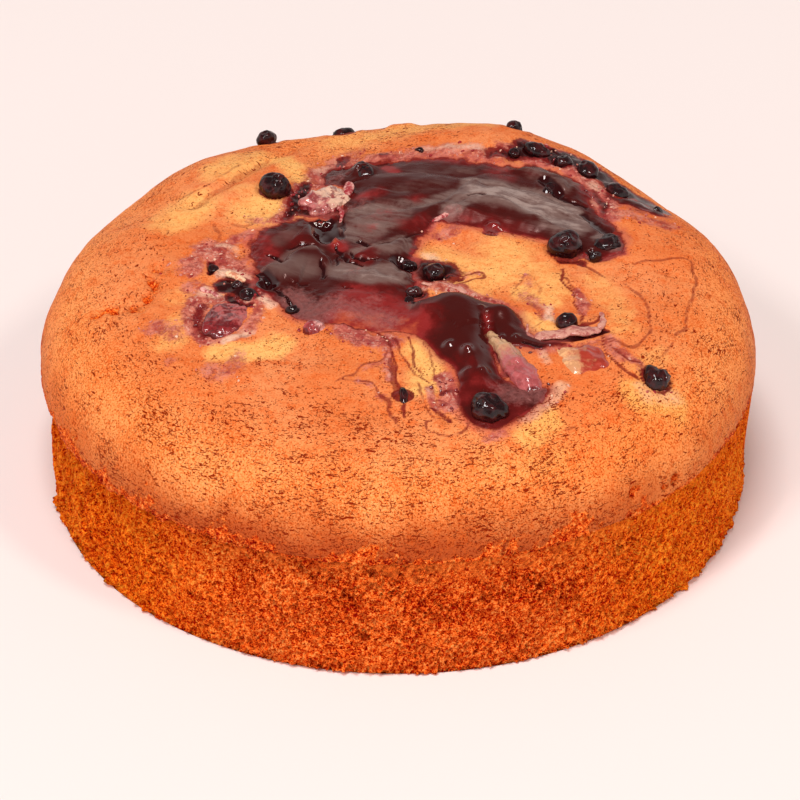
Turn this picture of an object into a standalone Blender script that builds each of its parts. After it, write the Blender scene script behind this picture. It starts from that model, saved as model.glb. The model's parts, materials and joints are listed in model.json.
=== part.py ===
"""A round blueberry and plum cake, baked in a plain round tin and turned out.

The cake is one solid: a straight bare-crumb side, a crust that overhangs it at
the lip, and a low domed top.  Dark fruit filling lies in a shallow pocket in
the top, with whole berries and pieces of plum sunk into it and into the crust.
X runs to the right, -Y to the front, and the base rests on z = 0.
"""
import math

import bmesh
import bpy
from mathutils import Matrix, Vector

MM = 0.001

# The baked body
LIP_RADIUS = 98.7 * MM       # widest ring, where the crust ends
LIP_HEIGHT = 38.5 * MM
FOOT_RADIUS = 97.0 * MM
CROWN_HEIGHT = 68.0 * MM
SHOULDER = 0.29              # 0.5 would be an ellipse; less is squarer
LEAN = 0.03                  # how much fuller the right shoulder is than the left
CROWN_RISE = 1.04            # 1 would leave the dome's profile as it is; more is leaner
TURN_STEPS = 54
CROWN_RINGS = 9
RING_CROWDING = 2.2          # how much closer the crown's rings lie towards the lip
WALL_RINGS = 3
LIP_OVERHANG = 0.6 * MM      # the crust stands this far out over the crumb
LIP_DROP = 1.6 * MM
FOOT_ROUND = 1.5 * MM
WELD = 0.01 * MM

# Where the crumb side has pulled in under the crust: turn, height, depth and spreads
HOLLOW_TURN = math.radians(202)
HOLLOW_SPREAD = math.radians(28)
HOLLOW_HEIGHT = 30.0 * MM
HOLLOW_TALL = 8.0 * MM
HOLLOW_DEPTH = 2.2 * MM

# Soft rises and dips of the crown: x, y, height and radius in mm
SWELLS = (
    (28, 72, 4.0, 13.5),
    (-56, 60, 1.6, 16.0),
    (74, 54, -4.8, 12.5),
    (-18, 70, -4.2, 16.5),
    (-78, 47, -2.6, 12.0),
)

# Runs of filling: plan points with the run's half-width there, in mm
FILLING_RUNS = (
    ((-31, 9, 11.0), (-24, -3, 13.0), (-22, -19, 8.5)),
    ((-31, 9, 11.0), (-20, 14, 12.0), (-6, 12, 12.0), (-7, -8, 9.0)),
    ((-24, -3, 13.0), (-7, -8, 9.0)),
    ((-20, -18, 8.5), (-8, -18, 10.0), (3, -25, 7.0)),
    ((-6, 12, 12.0), (0, 32, 14.0), (6, 43, 15.0)),
    ((-13, 47, 9.0), (6, 43, 15.0), (24, 36, 15.5), (36, 34, 18.0)),
    ((36, 34, 18.0), (46, 24, 11.0), (55, 14, 8.5)),
    ((3, -25, 6.0), (16, -28, 11.0), (26, -29, 7.0), (30, -36, 4.5)),
    ((14, -30, 9.5), (20, -46, 6.0), (22, -58, 6.5), (24, -67, 8.5)),
    ((24, -67, 8.5), (34, -64, 4.5), (39, -60, 2.0)),
)
TAIL_RUNS = (
    ((60, 41, 3.2), (66, 39, 3.8), (72, 35, 2.6)),
)
RUN_BLEND = 1.6 * MM         # how softly neighbouring runs flow together
RUN_TRIM = 0.6               # how much of the blend's swelling is taken off again
FILLING_DEPTH = 2.6 * MM     # filling below the crown's surface
FILLING_RISE = 1.3 * MM      # filling above it, well inside its edge
FILLING_EDGE = 7.0 * MM      # width of the rounded edge
FILLING_GRID = 4.9 * MM
TAIL_GRID = 2.6 * MM
RIM_SHARE = 0.45             # sheet vertices this near the outline slide onto it
PROBE = 0.1 * MM
MITRE_LIMIT = 0.5            # a sharp corner moves out no more than twice the margin

CLEAR = 0.35 * MM            # gap that a sunk piece keeps to what holds it
POCKET_HEADROOM = 6.0 * MM

# Berries: x, y, width, depth, height, centre above the crown (all mm), turn in degrees
BERRIES = (
    (-37.0, 80.0, 7.4, 7.2, 7.0, 1.6, 20),
    (-15.8, 87.0, 7.8, 7.6, 7.0, -1.4, 70),
    (33.4, 77.0, 5.4, 5.4, 5.0, 0.2, 10),
    (-34.0, 40.3, 10.0, 9.4, 9.2, 2.4, 35),
    (-10.0, 51.5, 9.4, 8.6, 7.6, 0.6, 80),
    (-40.6, -14.8, 6.4, 5.6, 5.6, 0.8, 15),
    (9.9, -3.4, 7.4, 6.2, 5.8, 1.0, 160),
    (2.9, 0.6, 5.2, 5.0, 5.0, 0.6, 40),
    (4.2, -12.7, 4.8, 6.0, 4.8, 0.6, 95),
    (46.2, 8.8, 10.8, 10.0, 9.4, 2.0, 25),
    (57.8, 12.6, 9.6, 8.2, 4.4, 0.6, 20),
    (45.8, -28.4, 6.4, 6.0, 6.2, 1.0, 120),
    (69.2, -48.0, 9.0, 8.6, 8.2, 0.9, 55),
    (24.2, -68.2, 11.4, 10.8, 9.8, 1.4, 5),
    (1.4, -62.0, 3.6, 8.0, 4.4, 0.0, 6),
    (46.5, 55.8, 5.8, 5.4, 5.6, 1.0, 65),
    (53.4, 54.2, 7.6, 7.0, 6.6, 1.2, 140),
    (61.6, 46.6, 6.6, 7.6, 5.6, 0.6, 30),
    (41.4, 38.0, 5.0, 4.8, 5.0, 0.6, 100),
    (39.4, 61.2, 9.0, 5.0, 5.0, 0.6, -14),
)
BERRY_SEGMENTS = 10
BERRY_RINGS = 7
BERRY_WRINKLE = 0.045
BERRY_DIMPLE = 0.22          # depth of the flower-end hollow, of the half-height
BERRY_DIMPLE_WIDTH = 0.4     # its width, of the berry's half-width

# Plum pieces: x, y, length, width, height, centre above the crown (mm), turn, taper
PLUMS = (
    (32.2, -48.4, 29.0, 11.5, 7.0, -0.9, -65, 0.60),
    (48.6, -45.4, 16.0, 14.0, 7.0, -2.1, 14, 0.10),
    (-46.6, -26.6, 16.5, 12.5, 6.6, -1.5, 72, 0.12),
    (-22.6, -31.2, 6.2, 4.6, 4.6, 0.3, 40, 0.20),
    (-20.4, 34.6, 15.0, 13.0, 6.4, -0.7, 50, 0.15),
)
PLUM_SEGMENTS = 12
PLUM_RINGS = 7
PLUM_SQUARENESS = 0.72       # 1 would be an ellipsoid

SEAT_REACH = 3.0 * MM        # distance over which the crown's slope is taken
SHARP_ANGLE = math.radians(40)


def collection(name):
    """A new collection in the scene."""
    group = bpy.data.collections.new(name)
    bpy.context.scene.collection.children.link(group)
    return group


def material(name, colour, roughness, coat=0.0):
    """A Principled material of one plain colour."""
    finish = bpy.data.materials.new(name)
    finish.use_nodes = True
    shader = finish.node_tree.nodes["Principled BSDF"]
    shader.inputs["Base Color"].default_value = (*colour, 1.0)
    shader.inputs["Roughness"].default_value = roughness
    shader.inputs["Metallic"].default_value = 0.0
    shader.inputs["Coat Weight"].default_value = coat
    return finish


def add_object(name, mesh, group, finish=None):
    """An object with its mesh, in its collection."""
    thing = bpy.data.objects.new(name, mesh)
    group.objects.link(thing)
    if finish is not None:
        mesh.materials.clear()
        mesh.materials.append(finish)
    return thing


def mesh_from(name, bm):
    """Turn a finished bmesh into mesh data."""
    mesh = bpy.data.meshes.new(name)
    bm.to_mesh(mesh)
    bm.free()
    return mesh


def dome_rise(reach, shoulder):
    """Share of the crown's height at a share of the lip's radius."""
    swell = min(reach, 1.0) ** (1.0 / shoulder)
    return math.sqrt(max(0.0, 1.0 - swell * swell))


def relief(x, y):
    """Height of the soft swells at a plan point."""
    total = 0.0
    for swell_x, swell_y, height, radius in SWELLS:
        away = math.hypot(x / MM - swell_x, y / MM - swell_y)
        total += height * MM * math.exp(-away * away / (2.0 * radius * radius))
    return total


def crown_height(x, y):
    """Height of the baked top above the base at a plan point."""
    shoulder = SHOULDER - LEAN * math.cos(math.atan2(y, x))
    rise = dome_rise(math.hypot(x, y) / LIP_RADIUS, shoulder)
    return LIP_HEIGHT + (CROWN_HEIGHT - LIP_HEIGHT) * rise ** CROWN_RISE + relief(x, y) * rise


def body_profile():
    """Outer line of the body at +X, from the top's centre down to the base's centre."""
    points = []
    for ring in range(CROWN_RINGS + 1):
        reach = 1.0 - (1.0 - ring / CROWN_RINGS) ** RING_CROWDING
        rise = dome_rise(reach, SHOULDER) ** CROWN_RISE
        height = LIP_HEIGHT + (CROWN_HEIGHT - LIP_HEIGHT) * rise
        points.append((LIP_RADIUS * reach, height))
    wall_top = LIP_HEIGHT - LIP_DROP
    wall_radius = LIP_RADIUS - LIP_OVERHANG
    for ring in range(WALL_RINGS + 1):
        down = ring / WALL_RINGS
        radius = wall_radius + (FOOT_RADIUS - wall_radius) * down
        points.append((radius, wall_top + (FOOT_ROUND - wall_top) * down))
    points.append((FOOT_RADIUS - FOOT_ROUND, 0.0))
    points.append((0.0, 0.0))
    return points


def settle(point):
    """Move a turned point to where the uneven bake left it."""
    radius = math.hypot(point.x, point.y)
    turn = math.atan2(point.y, point.x)
    if point.z > LIP_HEIGHT - 0.5 * LIP_DROP:
        shoulder = SHOULDER - LEAN * math.cos(turn)
        moved = LIP_RADIUS * (radius / LIP_RADIUS) ** (shoulder / SHOULDER)
        x, y = moved * math.cos(turn), moved * math.sin(turn)
        rise = dome_rise(radius / LIP_RADIUS, SHOULDER)
        return Vector((x, y, point.z + relief(x, y) * rise))
    aside = (turn % math.tau - HOLLOW_TURN) / HOLLOW_SPREAD
    above = (point.z - HOLLOW_HEIGHT) / HOLLOW_TALL
    hollow = HOLLOW_DEPTH * math.exp(-aside * aside - above * above)
    share = 1.0 - hollow / max(radius, LIP_OVERHANG)
    return Vector((point.x * share, point.y * share, point.z))


def make_body(group, finish):
    """The cake itself: a turned profile, settled into its uneven bake."""
    points = body_profile()
    outline = bpy.data.meshes.new("body_profile")
    outline.from_pydata(
        [(x, 0.0, z) for x, z in points],
        [(i, i + 1) for i in range(len(points) - 1)],
        [],
    )
    profile = add_object("body_profile", outline, group)
    screw = profile.modifiers.new("Turn", 'SCREW')
    screw.steps = TURN_STEPS
    screw.render_steps = TURN_STEPS
    screw.use_merge_vertices = True
    screw.merge_threshold = WELD
    mesh = evaluated_mesh(profile)
    bpy.data.objects.remove(profile)
    for vertex in mesh.vertices:
        vertex.co = settle(vertex.co)
    return add_object("cake", mesh, group, finish)


def evaluated_mesh(thing):
    """The mesh that an object's modifiers give, as plain data."""
    depsgraph = bpy.context.evaluated_depsgraph_get()
    return bpy.data.meshes.new_from_object(thing.evaluated_get(depsgraph))


def run_reach(x, y, runs):
    """Distance inside the outline of softly joined runs; negative outside it."""
    reaches = []
    for run in runs:
        for (ax, ay, a_wide), (bx, by, b_wide) in zip(run, run[1:]):
            start = Vector((ax, ay)) * MM
            step = Vector((bx - ax, by - ay)) * MM
            away = Vector((x, y)) - start
            along = max(0.0, min(1.0, away.dot(step) / step.length_squared))
            wide = (a_wide + (b_wide - a_wide) * along) * MM
            reaches.append(wide - (away - step * along).length)
    best = max(reaches)
    joined = sum(math.exp((reach - best) / RUN_BLEND) for reach in reaches)
    return best + RUN_BLEND * (math.log(joined) - RUN_TRIM)


def outline_sheet(runs, spacing):
    """A flat triangle sheet inside the runs' outline, as a bmesh."""
    points = [point for run in runs for point in run]
    low_x = min(x - wide for x, _, wide in points) * MM - 2.0 * spacing
    high_x = max(x + wide for x, _, wide in points) * MM + 2.0 * spacing
    low_y = min(y - wide for _, y, wide in points) * MM - 2.0 * spacing
    high_y = max(y + wide for _, y, wide in points) * MM + 2.0 * spacing
    columns = math.ceil((high_x - low_x) / spacing)
    rows = math.ceil((high_y - low_y) / (spacing * math.sqrt(0.75)))
    bm = bmesh.new()
    bmesh.ops.create_grid(bm, x_segments=columns, y_segments=rows, size=1.0)
    for vertex in bm.verts:
        row = round((vertex.co.y + 1.0) / 2.0 * rows)
        vertex.co.x = low_x + (vertex.co.x + 1.0) / 2.0 * (high_x - low_x)
        vertex.co.y = low_y + (vertex.co.y + 1.0) / 2.0 * (high_y - low_y)
        if row % 2:
            vertex.co.x += 0.5 * spacing
    bmesh.ops.triangulate(bm, faces=bm.faces[:], quad_method='SHORT_EDGE')

    outside = []
    for vertex in bm.verts:
        reach = run_reach(vertex.co.x, vertex.co.y, runs)
        if abs(reach) < RIM_SHARE * spacing:
            pull_to_edge(vertex, runs)
        elif reach < 0.0:
            outside.append(vertex)
    bmesh.ops.delete(bm, geom=outside, context='VERTS')
    drop_pinched_faces(bm)
    for vertex in bm.verts:
        if vertex.is_boundary:
            pull_to_edge(vertex, runs)
    return bm


def pull_to_edge(vertex, runs):
    """Slide a sheet's vertex straight to the nearest point of the outline."""
    for _ in range(2):
        x, y = vertex.co.x, vertex.co.y
        reach = run_reach(x, y, runs)
        slope_x = (run_reach(x + PROBE, y, runs) - reach) / PROBE
        slope_y = (run_reach(x, y + PROBE, runs) - reach) / PROBE
        slope = max(slope_x * slope_x + slope_y * slope_y, 0.25)
        vertex.co.x -= slope_x * reach / slope
        vertex.co.y -= slope_y * reach / slope


def drop_pinched_faces(bm):
    """Remove faces that hang on by one corner, and whatever is left loose."""
    pinched = True
    while pinched:
        pinched = []
        for vertex in bm.verts:
            rim = [edge for edge in vertex.link_edges if edge.is_boundary]
            if len(rim) > 2:
                pinched.append(min(vertex.link_faces, key=lambda face: face.calc_area()))
        bmesh.ops.delete(bm, geom=list(set(pinched)), context='FACES')
    loose = [vertex for vertex in bm.verts if not vertex.link_faces]
    bmesh.ops.delete(bm, geom=loose, context='VERTS')


def widen_rim(bm, margin):
    """Push a flat sheet's rim outwards by an even margin."""
    shifts = {}
    for vertex in bm.verts:
        outward = Vector((0.0, 0.0))
        for edge in vertex.link_edges:
            if not edge.is_boundary:
                continue
            along = (edge.verts[1].co - edge.verts[0].co).to_2d().normalized()
            across = Vector((along.y, -along.x))
            inner = edge.link_faces[0].calc_center_median() - edge.verts[0].co
            last = across if inner.to_2d().dot(across) < 0.0 else -across
            outward += last
        if outward.length > 0.0:
            outward.normalize()
            shifts[vertex] = outward * margin / max(MITRE_LIMIT, outward.dot(last))
    for vertex, shift in shifts.items():
        vertex.co.xy += shift


def make_layer(name, runs, spacing, margin, rise, depth, group, finish=None):
    """A closed layer that follows the crown, from depth below it to rise above it."""
    bm = outline_sheet(runs, spacing)
    widen_rim(bm, margin)
    for vertex in bm.verts:
        vertex.co.z = crown_height(vertex.co.x, vertex.co.y) - depth
    lifted = bmesh.ops.extrude_face_region(bm, geom=bm.faces[:])
    for vertex in lifted["geom"]:
        if isinstance(vertex, bmesh.types.BMVert):
            inside = run_reach(vertex.co.x, vertex.co.y, runs)
            vertex.co.z += depth + rise(inside)
    bmesh.ops.recalc_face_normals(bm, faces=bm.faces[:])
    return add_object(name, mesh_from(name, bm), group, finish)


def rounded_rise(inside):
    """Height of the filling above the crown at a distance inside its edge."""
    share = max(0.0, min(1.0, inside / FILLING_EDGE))
    return FILLING_RISE * math.sqrt(1.0 - (1.0 - share) ** 2)


def pocket_rise(inside):
    """The pocket's cutter stands well clear of the crown everywhere."""
    return POCKET_HEADROOM


def berry_mesh(name, size, number):
    """A baked berry: a wrinkled, slightly flattened ball with a hollow flower end."""
    bm = bmesh.new()
    bmesh.ops.create_uvsphere(
        bm, u_segments=BERRY_SEGMENTS, v_segments=BERRY_RINGS, radius=1.0)
    for vertex in bm.verts:
        turn = math.atan2(vertex.co.y, vertex.co.x)
        side = math.hypot(vertex.co.x, vertex.co.y)
        wrinkle = math.sin(3.0 * turn + number) * math.cos(4.0 * vertex.co.z + number)
        dimple = BERRY_DIMPLE * max(0.0, vertex.co.z) * math.exp(-(side / BERRY_DIMPLE_WIDTH) ** 2)
        vertex.co *= 1.0 + BERRY_WRINKLE * wrinkle * side
        vertex.co.z -= dimple
    for axis in range(3):
        for vertex in bm.verts:
            vertex.co[axis] *= size[axis] / 2.0
    return mesh_from(name, bm)


def plum_mesh(name, size, taper):
    """A piece of plum: a rounded block that narrows towards its -X end."""
    bm = bmesh.new()
    bmesh.ops.create_uvsphere(
        bm, u_segments=PLUM_SEGMENTS, v_segments=PLUM_RINGS, radius=1.0)
    for vertex in bm.verts:
        for axis in range(3):
            share = vertex.co[axis]
            vertex.co[axis] = math.copysign(abs(share) ** PLUM_SQUARENESS, share)
        vertex.co.y *= 1.0 - taper * (1.0 - vertex.co.x) / 2.0
        vertex.co.x *= size[0] / 2.0
        vertex.co.y *= size[1] / 2.0
        vertex.co.z *= size[2] / 2.0
    return mesh_from(name, bm)


def seat(mesh, x, y, lift, turn):
    """Turn a piece and sink it into the crown, tipped with the slope it lies on."""
    reach = SEAT_REACH
    slope_x = (crown_height(x + reach, y) - crown_height(x - reach, y)) / (2.0 * reach)
    slope_y = (crown_height(x, y + reach) - crown_height(x, y - reach)) / (2.0 * reach)
    upward = Vector((-slope_x, -slope_y, 1.0)).normalized()
    tip = Vector((0.0, 0.0, 1.0)).rotation_difference(upward).to_matrix().to_4x4()
    spin = Matrix.Rotation(math.radians(turn), 4, 'Z')
    place = Matrix.Translation((x, y, crown_height(x, y) + lift))
    mesh.transform(place @ tip @ spin)


def make_berry(name, berry, number, margin, group, finish=None):
    """One berry in its place, or with a margin the cutter for its hollow."""
    x, y, width, depth, height, lift, turn = berry
    size = [side * MM + 2.0 * margin for side in (width, depth, height)]
    mesh = berry_mesh(name, size, number)
    seat(mesh, x * MM, y * MM, lift * MM, turn)
    return add_object(name, mesh, group, finish)


def make_plum(name, plum, margin, group, finish=None):
    """One piece of plum in its place, or with a margin the cutter for its hollow."""
    x, y, length, width, height, lift, turn, taper = plum
    size = [side * MM + 2.0 * margin for side in (length, width, height)]
    mesh = plum_mesh(name, size, taper)
    seat(mesh, x * MM, y * MM, lift * MM, turn)
    return add_object(name, mesh, group, finish)


def cut(thing, cutters):
    """Take cutters out of a piece and keep its main body as a plain mesh."""
    for cutter in cutters:
        boolean = thing.modifiers.new(cutter.name, 'BOOLEAN')
        boolean.operation = 'DIFFERENCE'
        boolean.solver = 'EXACT'
        boolean.object = cutter
    mesh = evaluated_mesh(thing)
    thing.modifiers.clear()
    thing.data = mesh
    keep_main_body(mesh)


def keep_main_body(mesh):
    """Drop the crumbs that a cut leaves loose from the main body."""
    bm = bmesh.new()
    bm.from_mesh(mesh)
    unseen = set(bm.verts)
    bodies = []
    while unseen:
        body = set()
        front = [next(iter(unseen))]
        while front:
            vertex = front.pop()
            if vertex in body:
                continue
            body.add(vertex)
            front.extend(edge.other_vert(vertex) for edge in vertex.link_edges)
        unseen -= body
        bodies.append(body)
    main = max(bodies, key=len)
    crumbs = [vertex for body in bodies if body is not main for vertex in body]
    bmesh.ops.delete(bm, geom=crumbs, context='VERTS')
    bm.to_mesh(mesh)
    bm.free()


def near(piece, others, gap):
    """The others whose boxes come within a gap of a piece's box."""
    def box(thing):
        places = [vertex.co for vertex in thing.data.vertices]
        low = [min(place[axis] for place in places) for axis in range(3)]
        high = [max(place[axis] for place in places) for axis in range(3)]
        return low, high

    low, high = box(piece)
    found = []
    for other in others:
        other_low, other_high = box(other)
        clear = any(
            other_low[axis] > high[axis] + gap or low[axis] > other_high[axis] + gap
            for axis in range(3))
        if not clear:
            found.append(other)
    return found


def hide_cutter(cutter):
    """Show a cutter as wire only."""
    cutter.hide_render = True
    cutter.display_type = 'WIRE'


for leftover in list(bpy.data.objects):
    bpy.data.objects.remove(leftover)

pieces = collection("blueberry_plum_cake")
hollows = collection("hollow_cutters")

crust = material("crust", (0.78, 0.33, 0.11), 0.6)
filling_gloss = material("filling", (0.10, 0.012, 0.016), 0.16, coat=0.6)
berry_skin = material("berry", (0.012, 0.010, 0.016), 0.25, coat=0.5)
plum_flesh = material("plum", (0.42, 0.08, 0.08), 0.3, coat=0.3)

cake = make_body(pieces, crust)

berries = []
berry_cutters = []
for number, berry in enumerate(BERRIES, start=1):
    berry_name = f"berry_{number:02d}"
    berries.append(make_berry(berry_name, berry, number, 0.0, pieces, berry_skin))
    berry_cutters.append(make_berry(f"hollow_{berry_name}", berry, number, CLEAR, hollows))

plums = []
plum_cutters = []
for number, plum in enumerate(PLUMS, start=1):
    plum_name = f"plum_{number}"
    plums.append(make_plum(plum_name, plum, 0.0, pieces, plum_flesh))
    plum_cutters.append(make_plum(f"hollow_{plum_name}", plum, CLEAR, hollows))

filling = make_layer(
    "fruit_filling", FILLING_RUNS, FILLING_GRID, 0.0, rounded_rise, FILLING_DEPTH,
    pieces, filling_gloss)
filling_pocket = make_layer(
    "hollow_filling", FILLING_RUNS, FILLING_GRID, CLEAR, pocket_rise,
    FILLING_DEPTH + CLEAR, hollows)
tail = make_layer(
    "filling_tail", TAIL_RUNS, TAIL_GRID, 0.0, rounded_rise, FILLING_DEPTH,
    pieces, filling_gloss)
tail_pocket = make_layer(
    "hollow_tail", TAIL_RUNS, TAIL_GRID, CLEAR, pocket_rise,
    FILLING_DEPTH + CLEAR, hollows)

for plum in plums:
    cut(plum, near(plum, berry_cutters, 0.0))
cut(filling, near(filling, plum_cutters + berry_cutters, 0.0))
cut(tail, near(tail, berry_cutters, 0.0))
cut(cake, [filling_pocket, tail_pocket] + plum_cutters + berry_cutters)

for cutter in hollows.objects:
    hide_cutter(cutter)
for piece in pieces.objects:
    piece.data.shade_smooth()
    piece.data.set_sharp_from_angle(angle=SHARP_ANGLE)
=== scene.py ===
"""Finish of a round blueberry and plum cake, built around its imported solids.

A bare-crumb side, a browned crust with swirls of blue batter, wet fruit filling in
a shallow pocket of the top, and plum pieces and berries sunk into both.  X runs to
the right and -Y to the front.  Lengths are in millimetres until a mesh is made.
"""

import json
import math

import bmesh
import bpy
import numpy as np
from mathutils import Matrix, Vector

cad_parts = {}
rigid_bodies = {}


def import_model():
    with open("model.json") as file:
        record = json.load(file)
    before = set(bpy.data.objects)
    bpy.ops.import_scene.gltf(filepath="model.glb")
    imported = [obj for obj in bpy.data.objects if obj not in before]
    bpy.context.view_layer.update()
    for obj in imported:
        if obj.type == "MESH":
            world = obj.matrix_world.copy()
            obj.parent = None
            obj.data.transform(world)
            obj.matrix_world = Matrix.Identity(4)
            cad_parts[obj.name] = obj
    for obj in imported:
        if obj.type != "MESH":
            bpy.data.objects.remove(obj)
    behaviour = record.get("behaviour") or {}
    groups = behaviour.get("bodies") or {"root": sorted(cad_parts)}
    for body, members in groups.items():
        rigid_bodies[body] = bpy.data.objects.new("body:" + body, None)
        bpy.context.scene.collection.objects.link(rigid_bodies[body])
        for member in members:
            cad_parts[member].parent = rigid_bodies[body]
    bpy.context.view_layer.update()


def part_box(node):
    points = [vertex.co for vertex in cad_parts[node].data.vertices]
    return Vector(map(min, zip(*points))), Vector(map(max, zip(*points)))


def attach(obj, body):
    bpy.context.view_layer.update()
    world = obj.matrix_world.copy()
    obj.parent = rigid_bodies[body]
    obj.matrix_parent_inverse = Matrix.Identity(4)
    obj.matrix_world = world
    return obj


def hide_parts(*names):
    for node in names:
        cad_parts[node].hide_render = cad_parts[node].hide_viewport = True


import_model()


# ---- The bare side ----------------------------------------------------------
# The straight side that stood against the tin's paper: open orange crumb with
# pores of about a millimetre, torn a little at the left, flat where it stands.

MM = 0.001
LIP_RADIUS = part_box("cake")[1].x / MM    # the widest ring, where the crust ends
LIP_HEIGHT = 38.5
FOOT_RADIUS = 97.0
FOOT_HEIGHT = 0.35           # where the wall's first ring lies above the flat base
BASE_RINGS = (40.0, 72.0, 90.0, FOOT_RADIUS - 1.5)
CAP_HEIGHT = 39.8            # the crumb's top, hidden under the crust
CAP_RINGS = ((96.5, 39.6), (60.0, CAP_HEIGHT))
WALL_SEGMENTS = 1296
WALL_ROWS = 64
WALL_INSET = 0.6             # the crumb stands this far in under the crust
WALL_STRIPS = 4              # strips of the wall in the bake map, one above the other
STRIP_FLOOR = 0.005
STRIP_PITCH = 0.15
STRIP_TALL = 0.145
BASE_SPOT = (0.19, 0.80)     # where the base lies in the bake map, and its scale
BASE_SCALE = 0.0018
CAP_SPOT = (0.5, 0.85)
CAP_SCALE = 0.0012
HOLLOW_TURN = math.radians(202)
HOLLOW_SPREAD = math.radians(28)
HOLLOW_HEIGHT = 30.0
HOLLOW_TALL = 8.0
HOLLOW_DEPTH = 2.2


def soft_step(low, high, value):
    """0 below low, 1 above high, and a smooth rise between."""
    share = np.clip((value - low) / (high - low), 0.0, 1.0)
    return share * share * (3.0 - 2.0 * share)


def bell(away, power=2):
    """1 in the middle of a mark, falling smoothly to 0 around it."""
    return np.exp(-away ** power)


def unevenness(places, size, seed, waves=14):
    """Smooth bumps of about one size, mostly between -1 and 1."""
    draw = np.random.default_rng(seed)
    total = np.zeros(len(places))
    for _ in range(waves):
        way = draw.normal(size=3)
        way *= math.tau / (size * draw.uniform(0.7, 1.5) * np.linalg.norm(way))
        total += np.sin(places @ way + draw.uniform(0.0, math.tau))
    return total / math.sqrt(waves)


def add_piece(name, places, faces, finish, corners=None):
    """A smooth mesh object from places in mm, with its bake map if it has one."""
    mesh = bpy.data.meshes.new(name)
    mesh.from_pydata((np.asarray(places) * MM).tolist(), [], faces)
    mesh.polygons.foreach_set("use_smooth", [True] * len(mesh.polygons))
    if corners is not None:
        layer = mesh.uv_layers.new(name="OFBake")
        layer.data.foreach_set("uv", np.asarray(corners, dtype=np.float32).ravel())
    mesh.materials.append(finish)
    piece = bpy.data.objects.new(name, mesh)
    bpy.context.scene.collection.objects.link(piece)
    return piece


def paint(piece, name, values):
    """Store one number or one vector for each point of a piece."""
    values = np.asarray(values, dtype=np.float32)
    kind, field = ('FLOAT', "value") if values.ndim == 1 else ('FLOAT_VECTOR', "vector")
    layer = piece.data.attributes.new(name, kind, 'POINT')
    layer.data.foreach_set(field, values.ravel())


def settle_piece(piece, slot, *nodes):
    """Attach a finished piece to the root body and hide the imported solids it stands for."""
    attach(piece, "root")
    if nodes:
        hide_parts(*nodes)


class Value:
    """One value in a node tree: plain sums on it add the nodes that work them out."""

    def __init__(self, socket):
        self.socket = socket
        self.tree = socket.id_data

    def __add__(self, other):
        return calc('ADD', self, other)

    def __sub__(self, other):
        return calc('SUBTRACT', self, other)

    def __rsub__(self, other):
        return calc('SUBTRACT', other, self)

    def __mul__(self, other):
        return calc('MULTIPLY', self, other)

    def __rtruediv__(self, other):
        return calc('DIVIDE', other, self)

    def __pow__(self, other):
        return calc('POWER', self, other)

    __radd__ = __add__
    __rmul__ = __mul__

    def rise(self, low, high):
        """A smooth rise from 0 to 1 as the value goes from low to high."""
        inputs = {"Value": self, "From Min": low, "From Max": high}
        return add_node(self.tree, 'ShaderNodeMapRange', inputs, interpolation_type='SMOOTHSTEP')


def add_node(tree, kind, inputs=None, output=0, **settings):
    """One node with its settings: gives the output asked for, or all of them for None."""
    node = tree.nodes.new(kind)
    for name, value in settings.items():
        setattr(node, name, value)
    for key, value in (inputs or {}).items():
        if isinstance(value, Value):
            tree.links.new(value.socket, node.inputs[key])
        else:
            node.inputs[key].default_value = value
    if output is None:
        return [Value(socket) for socket in node.outputs]
    return Value(node.outputs[output])


def calc(operation, *values, clamp=False):
    """A sum on values, of which at least one comes from a node."""
    tree = next(value.tree for value in values if isinstance(value, Value))
    return add_node(tree, 'ShaderNodeMath', dict(enumerate(values)), operation=operation, use_clamp=clamp)


def larger(first, second):
    """The larger of two values."""
    return calc('MAXIMUM', first, second)


def scaled(vector, factors):
    """A vector with each axis stretched."""
    return add_node(vector.tree, 'ShaderNodeVectorMath', {0: vector, 1: factors}, operation='MULTIPLY')


def in_mm(place):
    """A place in metres given in mm."""
    return scaled(place, (1.0 / MM, 1.0 / MM, 1.0 / MM))


def parts(vector):
    """The three parts of a vector."""
    return add_node(vector.tree, 'ShaderNodeSeparateXYZ', {0: vector}, None)


def noise(vector, size, detail=2.0, roughness=0.5, distortion=0.0):
    """Cloudy noise whose bumps measure about one size in mm."""
    inputs = {"Vector": vector, "Scale": 1.0 / size, "Detail": detail,
              "Roughness": roughness, "Distortion": distortion}
    return add_node(vector.tree, 'ShaderNodeTexNoise', inputs)


def tint(share, under, over, mode='MIX'):
    """One colour laid over another."""
    under, over = ((*colour, 1.0) if isinstance(colour, tuple) else colour for colour in (under, over))
    inputs = {0: share, 6: under, 7: over}
    return add_node(share.tree, 'ShaderNodeMix', inputs, 2, data_type='RGBA', blend_type=mode)


def laid_over(colour, *layers):
    """A colour with others laid over it in turn, each by its share."""
    for share, *over in layers:
        colour = tint(share, colour, *over)
    return colour


def new_finish(name, roughness, coat=0.0, coat_roughness=0.1, specular=0.5):
    """A Principled material: its tree, its shader and its object coordinates in mm."""
    finish = bpy.data.materials.new(name)
    finish.use_nodes = True
    tree = finish.node_tree
    shader = tree.nodes["Principled BSDF"]
    shader.inputs["Roughness"].default_value = roughness
    shader.inputs["Coat Weight"].default_value = coat
    shader.inputs["Coat Roughness"].default_value = coat_roughness
    shader.inputs["Specular IOR Level"].default_value = specular
    return finish, tree, shader, in_mm(add_node(tree, 'ShaderNodeTexCoord', output="Object"))


def painted(tree, name, output="Fac"):
    """A value painted on the piece."""
    return add_node(tree, 'ShaderNodeAttribute', output=output, attribute_name=name)


def feed(shader, socket, value):
    """Lead a value to one of a shader's sockets."""
    value.tree.links.new(value.socket, shader.inputs[socket])


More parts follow.
